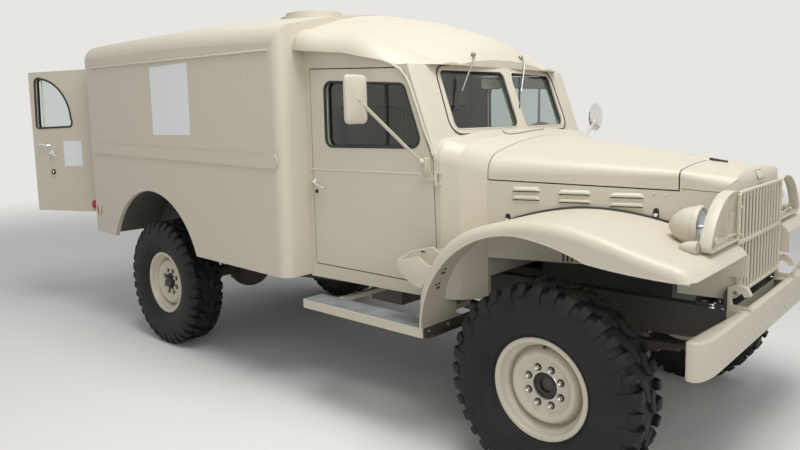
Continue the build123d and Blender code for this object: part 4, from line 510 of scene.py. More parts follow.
nut_steel = metal("nut_steel", (0.34, 0.32, 0.28), 0.42)
bright_steel = metal("bright_steel", (0.86, 0.86, 0.84), 0.14)
# Each dimple is a thin black disc under a nut, painted shade in the hollow round the stud.
dimple_shade = turn("dimple_shade", [(41.4, 0), (41.4, 16.5), (42.4, 16.8), (42.6, 14), (42.2, 0)], steps=20)
nut = turn("nut", [(41.5, 0), (41.5, 11.5), (44, 12.8), (52, 12.8), (54.5, 10.5), (54.5, 0)], steps=6)
stud = turn("stud", [(54, 0), (54, 6.2), (61, 6.2), (62.2, 5), (62.2, 0)], steps=14)
for number, part in enumerate((dimple_shade, nut, stud)):
    for finish in (hub_black, nut_steel, bright_steel):
        part.data.materials.append(finish)
    for face in part.data.polygons:
        face.material_index = number
nut = join("nut", dimple_shade, nut, stud)
nut_place = Matrix.Translation((0, 0, 0.08255)) @ Matrix.Rotation(-math.pi / 2, 4, "X")
nuts = repeat(nut, "nuts_pattern", [Matrix.Rotation((i + 0.5) * math.pi / 4, 4, "Y") @ nut_place for i in range(8)])
on_wheels(nuts, "wheel_nuts", None)
hole_edge = turn("hole_edge", [(40, 58.8), (42.5, 59.4), (42.8, 61.2), (41.6, 62.2), (40, 58.8)], axis=(0, 1, 0),
    steps=56)
on_wheels(hole_edge, "hub_ring", bright_steel)
front_hub = turn("front_hub", [(28, 32), (28, 58), (30, 58), (30, 47), (31, 40), (24, 33), (28, 32)], axis=(0, 1, 0),
    steps=36)


def hub_bolts(piece, count, radius, out):
    """Sets bolts in a circle on a hub's outer face."""
    turns = [math.radians(360 / count * i) for i in range(count)]
    return repeat(piece, "hub_bolts", [facing((radius * math.cos(a), out, radius * math.sin(a)), (0, 1, 0))
        for a in turns])


front_hub = join("front_hub", front_hub, hub_bolts(bolt(5.5, 5), 6, 0.0515, 0.03))
on_wheels(front_hub, "hub_face", hub_black, ends="front")
rear_hub = turn("rear_hub", [(25, 0), (25, 58), (48, 57.5), (50, 56), (50, 40), (64, 38), (68, 33), (68, 0)],
    axis=(0, 1, 0), steps=40)
rear_hub = join("rear_hub", rear_hub, hub_bolts(bolt(6, 6), 8, 0.0485, 0.05))
on_wheels(rear_hub, "hub_flange", hub_black, ends="rear")
valve = tube("valve", [(0, 0.01, 0.177), (0, 0.026, 0.173), (0, 0.052, 0.169)], 0.0042, sides=2)
on_wheels(valve, "tyre_valve", hub_black)

# The front bumper is one pressed channel across both frame horns, sprayed sand with the rest of the front.
# Round-headed bolts hold it to the horns, and square nuts hold the two hooks down behind it.
sand_enamel = enamel("sand_enamel", sand)
coat_nodes(sand_enamel, "front_bumper")
half_plan = [(2.6885, 0), (2.6885, 0.74), (2.686, 0.8), (2.679, 0.845), (2.668, 0.878), (2.655, 0.894), (2.64, 0.9),
    (2.612, 0.898), (2.612, 0.87), (2.64, 0.52), (2.652, 0.3), (2.6555, 0)]
plan = half_plan + [(x, -y) for x, y in reversed(half_plan[1:-1])]
bumper = plate("bumper_channel", [(x, y, 0.622) for x, y in plan], (0, 0, 0.152), 0.013, 4)


def open_faces(piece, test):
    """Deletes the faces whose normal and middle pass the test."""
    bpy.ops.object.mode_set(mode="EDIT")
    edit_mesh = bmesh.from_edit_mesh(piece.data)
    for face in edit_mesh.faces:
        face.select = test(face.normal, face.calc_center_median())
    bmesh.update_edit_mesh(piece.data)
    bpy.ops.mesh.delete(type="FACE")
    bpy.ops.object.mode_set(mode="OBJECT")


open_faces(bumper, lambda normal, middle: normal.x < -0.75 and 0.64 < middle.z < 0.76)
shape_by(bumper, "SOLIDIFY", thickness=0.005, offset=-1)
fit(bumper, sand_enamel)
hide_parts("front_bumper")
bumper_bolts = repeat(turn("bumper_bolt", [(-1, 0), (-1, 10), (2, 9.5), (5, 6), (6, 0)], steps=14), "bumper_bolts",
    [facing((2.6885, side * y, z), (1, 0, 0)) for side in (-1, 1) for y, z in ((0.282, 0.67), (0.222, 0.663))])
fit(bumper_bolts, sand_enamel)
flange_nuts = repeat(bolt(10, 9), "bumper_flange_nuts", [facing((x, side * y, 0.774))
    for side in (-1, 1) for x, y in ((2.662, 0.6), (2.666, 0.43))])
fit(flange_nuts, sand_enamel)
hook_nuts = repeat(bolt(13, 15), "hook_nuts", [facing((x, side * y, 0.7655))
    for side in (-1, 1) for x, y in ((2.5, 0.345), (2.538, 0.372), (2.545, 0.338), (2.582, 0.362))])
fit(hook_nuts, bright_steel)


# Front fenders: deep-drawn sheet steel with a rolled wire edge, an inner apron beside the hood and sand enamel.
# Small bolts hold the rear skirt's stiffeners, and seven narrow slots let air out through the apron; each slot is a
# thin dark plate of painted shade.
def oblong(x_low, x_high, y_low, y_high, *z):
    """Four corners of an oblong, each with the z where one is given."""
    return [(x, y, *z) for x, y in ((x_low, y_low), (x_high, y_low), (x_high, y_high), (x_low, y_high))]


def arc_through(first, middle, last, steps=12):
    """Points of the arc through three points of a plane, the first one left out."""
    ax, ay = first
    bx, by = middle
    cx, cy = last
    d = 2 * (ax * (by - cy) + bx * (cy - ay) + cx * (ay - by))
    ux = ((ax * ax + ay * ay) * (by - cy) + (bx * bx + by * by) * (cy - ay) + (cx * cx + cy * cy) * (ay - by)) / d
    uy = ((ax * ax + ay * ay) * (cx - bx) + (bx * bx + by * by) * (ax - cx) + (cx * cx + cy * cy) * (bx - ax)) / d
    radius = math.hypot(ax - ux, ay - uy)
    start, mid, end = (math.atan2(y - uy, x - ux) for x, y in (first, middle, last))
    mid = (mid - start) % (2 * math.pi)
    sweep = (end - start) % (2 * math.pi)
    if mid > sweep:
        sweep -= 2 * math.pi
    return [(ux + radius * math.cos(start + sweep * i / steps), uy + radius * math.sin(start + sweep * i / steps))
        for i in range(1, steps + 1)]


# Low on its inner faces, in the wheel well, the fender finish turns near black as painted shade.
fender_enamel_and_shade = enamel("fender_enamel_and_shade", sand, second=((0.018, 0.017, 0.016), -9.0, 9.0, 0.64, 0.893))
coat_nodes(fender_enamel_and_shade, "front_fenders")
lip = [(aft(d), z) for d, z in ((0.609, 0.586), (0.609, 0.638), (0.549, 0.825), (0.401, 0.993), (0.252, 1.07),
    (0.1, 1.096), (-0.06, 1.074), (-0.22, 1.022), (-0.4, 1.003), (-0.614, 0.997))]
lip_line = [lip[0], lip[1]]
for i in (1, 3, 5, 7):
    lip_line += arc_through(lip[i], lip[i + 1], lip[i + 2])


def fit_pair(piece, stem, finish):
    """Fits a piece on the right side and its mirrored copy on the left."""
    piece.name = stem + "_right"
    twin = copy_of(piece, Matrix.Scale(-1, 4, (0, 1, 0)))
    twin.data.flip_normals()
    twin.name = stem + "_left"
    fit(piece, finish)
    fit(twin, finish)


lip_bead = tube("fender_bead", [(x, -0.9535, z - 0.003) for x, z in lip_line], 0.0055, sides=2)
fit_pair(lip_bead, "fender_bead", sand_enamel)
black_enamel = enamel("black_enamel", (0.02, 0.02, 0.021), 0.45, 1.1, 0.35)
skirt_bolts = []
upper_out, lower_out = (0.9015, 0, -0.4327), (0.9608, 0, -0.2773)
for x, y, z, out in ((1.4453, -0.81, 0.85, upper_out), (1.4453, -0.66, 0.85, upper_out),
        (1.4167, -0.663, 0.775, lower_out), (1.4167, -0.82, 0.775, lower_out)):
    along = Vector((-out[2], 0, out[0]))
    for dy, up in ((-0.012, 0.01), (0.012, 0.012), (0, -0.012), (0.014, -0.01)):
        skirt_bolts.append(facing(Vector((x, y + dy, z)) + along * up, out, size=0.8))
fit_pair(repeat(bolt(5.5, 6), "skirt_bolts", skirt_bolts), "skirt_bolts", black_enamel)
side_way = Vector((0.9612, 0.2756, 0))
side_out = Vector((0.2756, -0.9612, 0))
side_slope = 0.2867


def on_side(x, z, lift=0):
    """Place on the right hood side: local X runs along the panel, local Y up and local Z out."""
    turned = Matrix((side_way, (0, 0, 1), side_out)).transposed().to_4x4()
    return Matrix.Translation(Vector((x, -0.6 + (x - 1.56) * side_slope, z)) + side_out * lift) @ turned


slot = plate("apron_slot", oblong(-0.0035, 0.0035, -0.026, 0.026, 0), (0, 0, 0.0016), 0.0006)
apron_slots = repeat(slot, "apron_slots", [on_side(1.915 + 0.0197 * i, 0.93 + 0.0013 * i, 0.0062) for i in range(7)])
# This near-black enamel is painted shade in slots, holes, seams and gaps where the sheet is open or parted.
painted_gap_shade = enamel("painted_gap_shade", (0.016, 0.015, 0.013), 0.7, 0.6, 0.1)
fit_pair(apron_slots, "apron_slots", painted_gap_shade)

# A black steel angle runs under each fender skirt from the frame to the running board's front end.
# It is cut from rolled stock and held by three bolts with bright heads.
for side, ending in sides:
    angle_bar = plate("skirt_angle_" + ending, [(x, side * 0.395, z) for x, z in ((1.4275, 0.548), (1.456, 0.548),
        (1.456, 0.5515), (1.4315, 0.5515), (1.4315, 0.596), (1.4275, 0.596))], (0, side * 0.548, 0), 0.0008)
    fit(angle_bar, black_enamel)
    angle_bolts = repeat(bolt(8.5, 8), "skirt_angle_bolts_" + ending, [facing((1.4315, side * y, 0.576), (1, 0, 0))
        for y in (0.905, 0.76, 0.6)])
    fit(angle_bolts, nut_steel)

# Scoop holder: a small open-topped holder of thick pressed steel, welded to the back of the right fender.
# It is painted sand inside and out, and its back wall has one short slot.
scoop = plate("scoop_holder", [(x, -0.945, z) for x, z in ((1.27, 0.905), (1.262, 0.862), (1.372, 0.792),
    (1.42, 0.79), (1.462, 0.838), (1.478, 0.9), (1.404, 0.938))], (0, 0.118, 0.03), 0)
open_faces(scoop, lambda normal, middle: normal.z > 0.35 and middle.z > 0.89)
shape_by(scoop, "SOLIDIFY", thickness=0.008, offset=-1)
soften(scoop, 0.0035, 3, 25)
fit(scoop, sand_enamel)
# The slot is a thin dark plate of painted shade.
scoop_slot = plate("scoop_slot", oblong(-0.013, 0.013, -0.0035, 0.0035, 0), (0, 0, 0.0014), 0.0006)
scoop_slot = repeat(scoop_slot, "scoop_slot", [facing((1.345, -0.8365, 0.938), (0, -1, 0.05), math.pi)])
fit(scoop_slot, painted_gap_shade)


# Running boards are folded sheet steel with sand edges and a top of grey grit that feet have rubbed.
# The grit is sprayed on a separate plate that is sunk a little inside the folded edge.
coat_nodes(sand_enamel, "running_boards")
board_grit, tree, place = new_finish("board_grit")
grain = mottle(tree, place, 420.0, 3)
ramp = add_node(tree, "ValToRGB", {0: mottle(tree, place, 7.0, 9, 0.7)})
stops = ramp.color_ramp.elements
stops[0].position, stops[0].color = 0.3, (0.2, 0.215, 0.23, 1)
stops[1].position, stops[1].color = 0.72, (0.42, 0.43, 0.43, 1)
speck = add_node(tree, "Mix", {0: 0.55, 6: ramp.outputs[0], 7: grain}, data_type="RGBA", blend_type="MULTIPLY")
complete(board_grit, {"Roughness": 0.78, "Base Color": speck.outputs[2], "Normal": relief(tree, grain, 0.7, 0.0012)})
for side, ending in sides:
    tread_plate = plate("board_tread_" + ending, [(0.56, side * 0.806, 0.5932), (1.417, side * 0.806, 0.5932),
        (1.417, side * 0.936, 0.5932), (1.405, side * 0.941, 0.5932), (0.572, side * 0.941, 0.5932),
        (0.56, side * 0.934, 0.5932)], (0, 0, 0.003), 0.0012)
    fit(tread_plate, board_grit)

# The nose shell is drawn steel round the radiator, sand outside, with a flat blank plate on its rolled front edge,
# ringed by a thin dark line of painted shade.
# A black rubber strip lies on its top behind the hood's end, and the seam where its sides are welded is a thin dark
# line of painted shade.
coat_nodes(sand_enamel, "nose_shell")


def on_node(name, point):
    """Nearest place on a CAD node and the way its surface faces there."""
    found, place, out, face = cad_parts[name].closest_point_on_mesh(Vector(point))
    return place, out


blank_plate = plate("blank_plate", [(-0.02, -0.046, -0.002), (0.02, -0.052, -0.002), (0.02, 0.052, -0.002),
    (-0.02, 0.046, -0.002)], (0, 0, 0.0055), 0.0015)
raised = plate("blank_plate_field", [(-0.013, -0.038, 0.003), (0.013, -0.043, 0.003), (0.013, 0.043, 0.003),
    (-0.013, 0.038, 0.003)], (0, 0, 0.0022), 0.001)
blank_plate = join("blank_plate", blank_plate, raised)
plate_edge = tube("plate_edge", [(-0.0205, -0.0465, 0.0022), (0.0205, -0.0525, 0.0022), (0.0205, 0.0525, 0.0022),
    (-0.0205, 0.0465, 0.0022)], 0.0012, closed=True, sides=1)
tilt_to = Matrix.Translation((2.6055, 0, 1.2985)) @ Matrix.Rotation(math.radians(64), 4, "Y")
fit(repeat(blank_plate, "blank_plate", [tilt_to]), sand_enamel)
fit(repeat(plate_edge, "blank_plate_edge", [tilt_to]), painted_gap_shade)
rubber_black = enamel("rubber_black", (0.022, 0.021, 0.02), 0.62, 0.5, 0.1)
strip_points = [on_node("nose_shell", (x, 0, 1.42))[0] + Vector((0, 0, 0.003)) for x in (2.402, 2.428, 2.454, 2.48)]


def rubber(name, points, radius, body="truck", closed=False):
    """Lays a round rubber line through the points."""
    fit(tube(name, points, radius, closed, 2), rubber_black, body)


rubber("nose_rubber", strip_points, 0.006)
for side, ending in sides:
    seam = [on_node("nose_shell", (x, side * (y + 0.06), z))[0] for x, y, z in ((2.404, 0.362, 1.256),
        (2.44, 0.358, 1.254), (2.48, 0.352, 1.251), (2.52, 0.347, 1.249), (2.556, 0.342, 1.247))]
    fit(tube("nose_seam_" + ending, seam, 0.0011, sides=1), painted_gap_shade)

# The grille guard is welded from steel: a round frame, upright rods, a middle rail and a hoop before each headlamp.
# Thin wires cross each hoop, clipped with small bolts, and close behind the rods a dark sheet with fine wire lines is
# painted shade in the gaps.
def rounded(corners, radius, steps=6):
    """Points of a closed outline with every corner rounded."""
    points = []
    for i, corner in enumerate(corners):
        here = Vector(corner)
        back = (Vector(corners[i - 1]) - here).normalized()
        on = (Vector(corners[(i + 1) % len(corners)]) - here).normalized()
        half = math.acos(max(-1, min(1, back.dot(on)))) / 2
        reach = radius / math.tan(half)
        centre = here + (back + on).normalized() * radius / math.sin(half)
        first, last = here + back * reach - centre, here + on * reach - centre
        turn_by = first.angle_signed(last)
        for k in range(steps + 1):
            a = -turn_by * k / steps
            points.append((centre.x + first.x * math.cos(a) - first.y * math.sin(a),
                centre.y + first.x * math.sin(a) + first.y * math.cos(a)))
    return points


frame_line = [(2.618, y, z) for y, z in rounded(oblong(-0.324, 0.324, 0.821, 1.249), 0.022)]
guard = [tube("guard_frame", frame_line, 0.0082, closed=True, sides=4)]
for i in range(12):
    y = (i - 5.5) * 0.0485
    guard.append(tube("guard_rod", [(2.618, y, 0.818), (2.618, y, 1.252)], 0.0066, sides=3))
guard.append(plate("guard_rail", [(x, -0.326, z) for x, z in oblong(2.6105, 2.6262, 1.031, 1.049)], (0, 0.652, 0),
    0.002))
for side in (-1, 1):
    strap_line = [(0.333, 1.25)] + arc_through((0.333, 1.25), (0.62, 1.175), (0.684, 1.076), 22)
    strap_line += arc_through((0.684, 1.076), (0.68, 1.06), (0.664, 1.056), 5) + [(0.333, 1.056)]
    strap = trace("guard_hoop", [(2.581, side * y, z) for y, z in strap_line])
    push_out((0.045, 0, 0))
    guard.append(soften(shape_by(leave_edit(strap), "SOLIDIFY", thickness=0.006, offset=0), 0.0018, 2, 40))
guard = join("grille_guard_welded", *guard)
fit(guard, sand_enamel)
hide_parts("grille_guard")
# The dark sheet behind the rods stands for the shade in the grille's gaps.
screen = plate("grille_shade_sheet", [(2.6015, y, z) for y, z in oblong(-0.271, 0.271, 0.851, 1.214)], (0.003, 0, 0), 0)
grille_gap_shade = fine_lines("grille_gap_shade", (0.01, 0.01, 0.009), (0.045, 0.042, 0.036), 0.004, "Z")
fit(screen, grille_gap_shade)
for side, ending in sides:
    wires = [tube("guard_wire", [(2.604, side * 0.4, 1.055), (2.604, side * 0.402, 1.212)], 0.0032, sides=2),
        tube("guard_wire", [(2.604, side * 0.585, 1.055), (2.604, side * 0.588, 1.105)], 0.0032, sides=2),
        tube("guard_wire", [(2.6, side * 0.598, 1.078), (2.604, side * 0.5, 1.079), (2.612, side * 0.336, 1.08)],
        0.0036, sides=2)]
    clips = repeat(turn("clip", [(-6, 0), (-6, 8), (6, 8), (9, 5), (9, 0)], steps=10), "guard_clips",
        [facing((2.606, side * y, z), (1, 0, 0)) for y, z in ((0.401, 1.165), (0.401, 1.08), (0.586, 1.079))])
    fit(join("guard_wires_" + ending, clips, *wires), sand_enamel)
guard_bolts = repeat(bolt(5.2, 5), "guard_bolts", [facing((2.625, side * 0.324, z), (1, 0, 0)) for side in (-1, 1)
    for z in (0.88, 1.075, 1.19)])
fit(guard_bolts, sand_enamel)


# Headlamps: pressed steel bullets in sand enamel, each with a rolled rim, a silvered dish and a ribbed glass lens.
# A small marker lamp of the same make sits low on the fender beside each one.
def glass_finish(name, dark, light, ribs=0):
    """Makes clear glass with a faint tint, and upright ribs where asked."""
    finish, tree, place = new_finish(name)
    haze = mottle(tree, place, 6.0, 8)
    if ribs:
        complete(finish, {"Normal": relief(tree, waves(tree, place, "Y", ribs), 0.25, 0.002)})
    return complete(finish, {"Transmission Weight": 1.0, "IOR": 1.45, "Base Color": blend(tree, haze, dark, light),
        "Roughness": spread(tree, haze, 0, 0.05)})


coat_nodes(sand_enamel, "headlamps")
lens_glass = glass_finish("lens_glass", (0.8, 0.84, 0.86), (0.88, 0.91, 0.92), 12.0)
silvered = metal("silvered", (0.93, 0.93, 0.92), 0.08, 8.0)
for side, ending in sides:
    lamp_centre = (2.536, side * 0.56, 1.132)
    for stem, finish, slot, steps, profile in (
            ("lamp_rim_", sand_enamel, "lamp_paint", 72, [(-6, 79.5), (-4, 84), (4, 86.2), (12, 85), (17, 80),
                (16, 74.5), (11, 73.5), (0.5, 78), (-6, 79.5)]),
            ("lamp_dish_", silvered, "lamp_paint", 72, [(1, 0), (1.8, 20), (4.5, 45), (10.5, 73), (8, 73.5),
                (0.4, 50), (0.4, 0)]),
            ("lamp_bulb_", silvered, "lamp_paint", 24, [(1.2, 0), (1.2, 8.5), (10, 9.5), (15, 7), (16.5, 0)]),
            ("lamp_lens_", lens_glass, "window_glass", 72, [(12.5, 75), (21.5, 66), (29, 48), (33, 26), (34.5, 0),
                (31.5, 0), (30, 25), (26.2, 46), (19, 63), (10.5, 73.5), (12.5, 75)])):
        fit(turn(stem + ending, profile, lamp_centre, (1, 0, 0), steps), finish)
    marker_centre = (2.56, side * 0.69, 1.07)
    marker = turn("marker_lamp_" + ending, [(-52, 0), (-48, 9), (-34, 18.5), (-12, 25.5), (10, 27.5), (14, 29),
        (18, 28.5), (20, 25), (20, 0)], marker_centre, (1, 0, 0), 40)
    marker_foot = turn("marker_foot", [(-60, 0), (-60, 16), (-52, 14), (-48, 9), (0, 8)], (2.552, side * 0.69, 1.058),
        (0, 0, 1), 20)
    fit(join("marker_lamp_" + ending, marker, marker_foot), sand_enamel)
    marker_lens = turn("marker_lens_" + ending, [(19.5, 24.5), (26, 20), (30, 11), (31.5, 0), (19.5, 0)],
        marker_centre, (1, 0, 0), 36)
    fit(marker_lens, lens_glass)

# Hood: two steel leaves that lift from the middle, over fixed side panels with three pairs of pressed louvres.
# Each louvre is a shallow blister with its lower edge open, and two spring pins in oval holes hold each leaf; the
# openings and holes are thin dark plates of painted shade.
coat_nodes(sand_enamel, "hood_left", "hood_right", "hood_sides")


def louvre(length, height):
    """Presses one louvre, a blister that stands off the panel most at its open lower edge."""
    half, low = length / 2, -height / 2
    piece = fill("louvre", [(-half, low, -0.001), (half, low, -0.001), (half - 0.014, -low, -0.001),
        (-half + 0.014, -low, -0.001)])
    push_out((0, 0, 0.0115), (0.87, 0.46, 1), (0, low + 0.001, 0))
    return soften(leave_edit(piece), 0.0035, 3, 20)


louvres, openings = [], []
for low_x, high_x, rows in (
        (1.674, 1.813, ((1.25, 1.228), (1.212, 1.188))),
        (1.885, 2.037, ((1.241, 1.219), (1.2, 1.182))),
        (2.105, 2.256, ((1.234, 1.212), (1.193, 1.172)))):
    for high_z, low_z in rows:
        length, height = (high_x - low_x) / 0.9612, high_z - low_z
        place = on_side((low_x + high_x) / 2, (high_z + low_z) / 2)
        louvres.append(repeat(louvre(length, height), "louvre", [place]))
        # The open lower edge is a thin dark plate of painted shade.
        opening = plate("louvre_opening", oblong(-length * 0.44, length * 0.44, -0.004, 0.003, 0), (0, 0, 0.0012),
            0.0005)
        openings.append(repeat(opening, "opening", [place @ Matrix.Translation((0, -height / 2 - 0.0008, 0.0003))]))
fit_pair(join("hood_louvres", *louvres), "hood_louvres", sand_enamel)
fit_pair(join("louvre_openings", *openings), "louvre_openings", painted_gap_shade)
side_rivets = repeat(rivet(), "side_rivets", [on_side(x, z) for x, z in ((1.92, 1.159), (1.999, 1.157), (2.29, 1.232),
    (2.338, 1.226))])
fit_pair(side_rivets, "side_rivets", sand_enamel)
oval = [(0.0125 * math.cos(a), (0.014 if math.sin(a) > 0 else -0.014) + 0.0125 * math.sin(a), 0)
    for a in [math.radians(15 * i + 7.5) for i in range(24)]]
# Each oval hole is a thin dark plate of painted shade.
latch_hole = repeat(plate("latch_hole", oval, (0, 0, 0.0016), 0.0006), "latch_holes",
    [on_side(1.659, 1.091), on_side(2.3, 1.143)])
fit_pair(latch_hole, "latch_holes", painted_gap_shade)
pin = turn("latch_pin", [(0, 0), (0, 4.5), (8, 4.5), (9.5, 8.5), (14, 9.8), (19, 8), (21.5, 0)], steps=20)
pins = repeat(pin, "latch_pins", [on_side(1.659, 1.089), on_side(2.3, 1.141)])
fit_pair(pins, "latch_pins", bright_steel)

# The cowl is drawn sheet steel between the hood and the windshield, sand like the rest of the body.
# The gap round its vent lid is a thin black line of painted shade, and black welting fills the joint over each
# fender.
coat_nodes(sand_enamel, "cowl")
vent_points = [on_node("cowl", (x, y, 1.55))[0] + Vector((0, 0, 0.001)) for x, y in ((1.415, -0.235), (1.47, -0.29),
    (1.5, -0.285), (1.505, -0.2), (1.49, -0.08), (1.47, 0.03), (1.445, 0.14))]
rubber("vent_edge", vent_points, 0.0026)
for side, ending in sides:
    welt = []
    for i in range(34):
        x = 1.585 + i * 0.0255
        start = Vector((x, side * (0.612 - (x - 1.56) * side_slope), 1.25))
        found, place, out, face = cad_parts["front_fenders"].ray_cast(start, Vector((0, 0, -1)))
        if found:
            welt.append(place + Vector((0, 0, 0.003)))
    rubber("fender_welt_" + ending, welt, 0.0062)

# The windshield frame is a welded steel band in a shallow V, with two flat panes held by black rubber seals.
# A thin outer rubber closes the joint to the body, and a round-cornered mirror hangs inside from the middle.
coat_nodes(sand_enamel, "windshield_frame")
window_glass = glass_finish("window_glass", (0.62, 0.69, 0.67), (0.7, 0.75, 0.73))
coat_nodes(window_glass, "windshield_glass")


def on_screen(y, z, lift=0):
    """Place on the windshield frame's front face, or off it by the lift."""
    return Vector((1.408 - 0.36 * (z - 1.47) - 0.0964 * abs(y) + lift, y, z))


for side, ending in sides:
    pane = rounded(oblong(side * 0.032, side * 0.552, 1.52, 1.828), 0.038)
    rubber("pane_seal_" + ending, [on_screen(y, z, -0.016) for y, z in pane], 0.006, closed=True)
    bead = tube("pane_bead_" + ending, [on_screen(y, z, -0.001) for y, z in pane], 0.0042, closed=True, sides=2)
    fit(bead, sand_enamel)
outer = rounded([(-0.592, 1.494), (0.592, 1.494), (0.575, 1.85), (-0.575, 1.85)], 0.075, 8)
rubber("windshield_joint", [on_screen(y, z, 0.0015) for y, z in outer], 0.0042, closed=True)
inner_mirror = plate("inner_mirror", [(1.205, y, z) for y, z in rounded(oblong(-0.156, 0.032, 1.733, 1.789), 0.018)],
    (0.012, 0, 0), 0.003)
inner_stem = tube("inner_stem", [(1.217, -0.062, 1.77), (1.232, -0.03, 1.815), (1.238, 0, 1.845)], 0.005, sides=2)
fit(join("inner_mirror", inner_mirror, inner_stem), sand_enamel)

# Wipers: two arms of bright wire hang from pivots in the roof's front lip, each with a rubber blade in a steel back.
# They stand nearly upright, as they were left.
for ending, pivot, elbow, high, low in (
        ("right", (1.24, -0.27, 1.912), (1.287, -0.335, 1.868), (1.262, -0.385, 1.797), (1.302, -0.497, 1.622)),
        ("left", (1.24, 0.2, 1.918), (1.29, 0.175, 1.872), (1.28, 0.135, 1.8), (1.35, 0.02, 1.622))):
    middle = [(a + b) / 2 for a, b in zip(high, low)]
    arm = tube("wiper_arm", [pivot, [(p + e) / 2 + s for p, e, s in zip(pivot, elbow, (0.012, 0, 0.008))], elbow,
        [m + s for m, s in zip(middle, (0.012, 0, 0.004))]], 0.0042, sides=2)
    knob = turn("wiper_pivot", [(-30, 0), (-30, 10), (-4, 10), (4, 14), (14, 12), (20, 6), (22, 0)], pivot,
        (0.85, 0, 0.52), 18)
    fit(join("wiper_arm_" + ending, arm, knob), nut_steel)
    rubber("wiper_blade_" + ending, [high, middle, low], 0.0052)

# Cab sides and doors are sheet steel over a welded frame, with dark rubber round each window and a vent pane's bar.
# A pull-down handle and a lock sit at each door's rear edge, and a drip moulding runs from the roof down the post.
coat_nodes(sand_enamel, "cab_sides", "door_left", "door_right")
coat_nodes(window_glass, "door_glass_left", "door_glass_right")


cab_rear_x = 0.465
cab_in, cab_on = 0.05182, 0.99866


def on_cab(u, z, lift=0, side=-1):
    """Place on a cab side: u runs forward from the partition along the side, lift points outwards."""
    return Vector((cab_rear_x + cab_on * u + cab_in * lift, side * (0.8 - cab_in * u + cab_on * lift), z))


door_pane = rounded([(0.1532, 1.437), (0.8214, 1.437), (0.711, 1.752), (0.1532, 1.79)], 0.045)
lever = [(0.03, 1.24), (0.047, 1.243), (0.066, 1.236), (0.1, 1.22), (0.149, 1.205)]
post_x = [(1.352, 1.4), (1.34, 1.44), (1.302, 1.52), (1.262, 1.63), (1.222, 1.735), (1.196, 1.785), (1.158, 1.825),
    (1.1, 1.856)]
for side, ending in sides:
    body = "door_" + ending
    door_out = (cab_in, side * cab_on, 0)
    for lift, radius, stem in ((-0.004, 0.0085, "door_window_seal_"), (-0.044, 0.0075, "door_inner_seal_")):
        rubber(stem + ending, [on_cab(u, z, lift, side) for u, z in door_pane], radius, body, closed=True)
    vent_bar = [on_cab(0.574, 1.44, -0.018, side), on_cab(0.58, 1.765, -0.018, side)]
    rubber("vent_bar_" + ending, vent_bar, 0.0075, body)
    plate_back = turn("handle_plate", [(0, 0), (0, 19), (3, 18), (6, 11), (20, 9.5), (26, 6), (27, 0)],
        on_cab(0.046, 1.24, 0, side), door_out, 24)
    grip = tube("handle_lever", [on_cab(u, z, 0.022, side) for u, z in lever], 0.0062, sides=3)
    fit(join("door_handle_" + ending, plate_back, grip), silvered, body)
    lock = turn("door_lock_" + ending, [(0, 0), (0, 12.5), (2, 12), (3, 7), (3, 0)], on_cab(0.067, 1.184, 0, side),
        door_out, 20)
    fit(lock, black_enamel, body)
    drip = [on_cab((x - cab_rear_x) / cab_on, z, 0.004, side) for x, z in post_x]
    drip += [on_cab(aft_u, z, 0.004, side) for aft_u, z in ((0.565, 1.88), (0.44, 1.915), (0.337, 1.934),
        (0.17, 1.956), (0.012, 1.968))]
    fit(tube("cab_drip_" + ending, drip, 0.0068, sides=3), sand_enamel)

# A shallow ridge is pressed along each door at the belt, a little under its window.
# Two small hinges with round knuckles carry each door at its front edge.
for side, ending in sides:
    ridge = tube("door_belt_" + ending, [on_cab(0.025, 1.306, -0.0065, side), on_cab(0.88, 1.306, -0.0065, side)],
        0.009)
    fit(ridge, sand_enamel, "door_" + ending)
    barrels = [turn("hinge_barrel", [(-34, 0), (-34, 7.5), (-12, 7.5), (-11, 6.5), (-10, 7.5), (10, 7.5), (11, 6.5),
        (12, 7.5), (34, 7.5), (34, 0)], on_cab(0.9035, z, 0.0045, side), (0, 0, 1), 14) for z in (0.86, 1.29)]
    fit(join("door_hinges_" + ending, *barrels), sand_enamel)


# Mirrors stand on tube arms bolted to the doors' front corners, a tall one on the right and a round one on the left.
# Their backs are drawn sheet steel, sand on the right and bright on the left, with a silvered glass behind.
def mirror_arm(side, foot, head, name):
    """Models the bracket, the tube arm and its ball joint."""
    out = Vector((cab_in, side * cab_on, 0))
    base_line = rounded(oblong(-0.022, 0.022, -0.05, 0.042), 0.01)
    base = plate("mirror_base", [Vector(foot) + Vector((x, 0, z)) for x, z in base_line], out * 0.01, 0.003)
    post_line = rounded(oblong(-0.011, 0.011, -0.036, 0.036), 0.006)
    post = plate("mirror_post", [Vector(foot) + out * 0.009 + Vector((x, 0, z)) for x, z in post_line],
        out * 0.018, 0.003)
    arm_start = Vector(foot) + out * 0.022
    arm = tube("mirror_tube", [arm_start, arm_start.lerp(Vector(head), 0.12), Vector(head)], 0.008, sides=4)
    ball = turn("mirror_ball", [(-16, 0), (-14.5, 9), (-8, 14.5), (0, 16.5), (8, 14.5), (14.5, 9), (16, 0)],
        arm_start.lerp(Vector(head), 0.06), out, 20)
    return join(name, base, post, arm, ball)


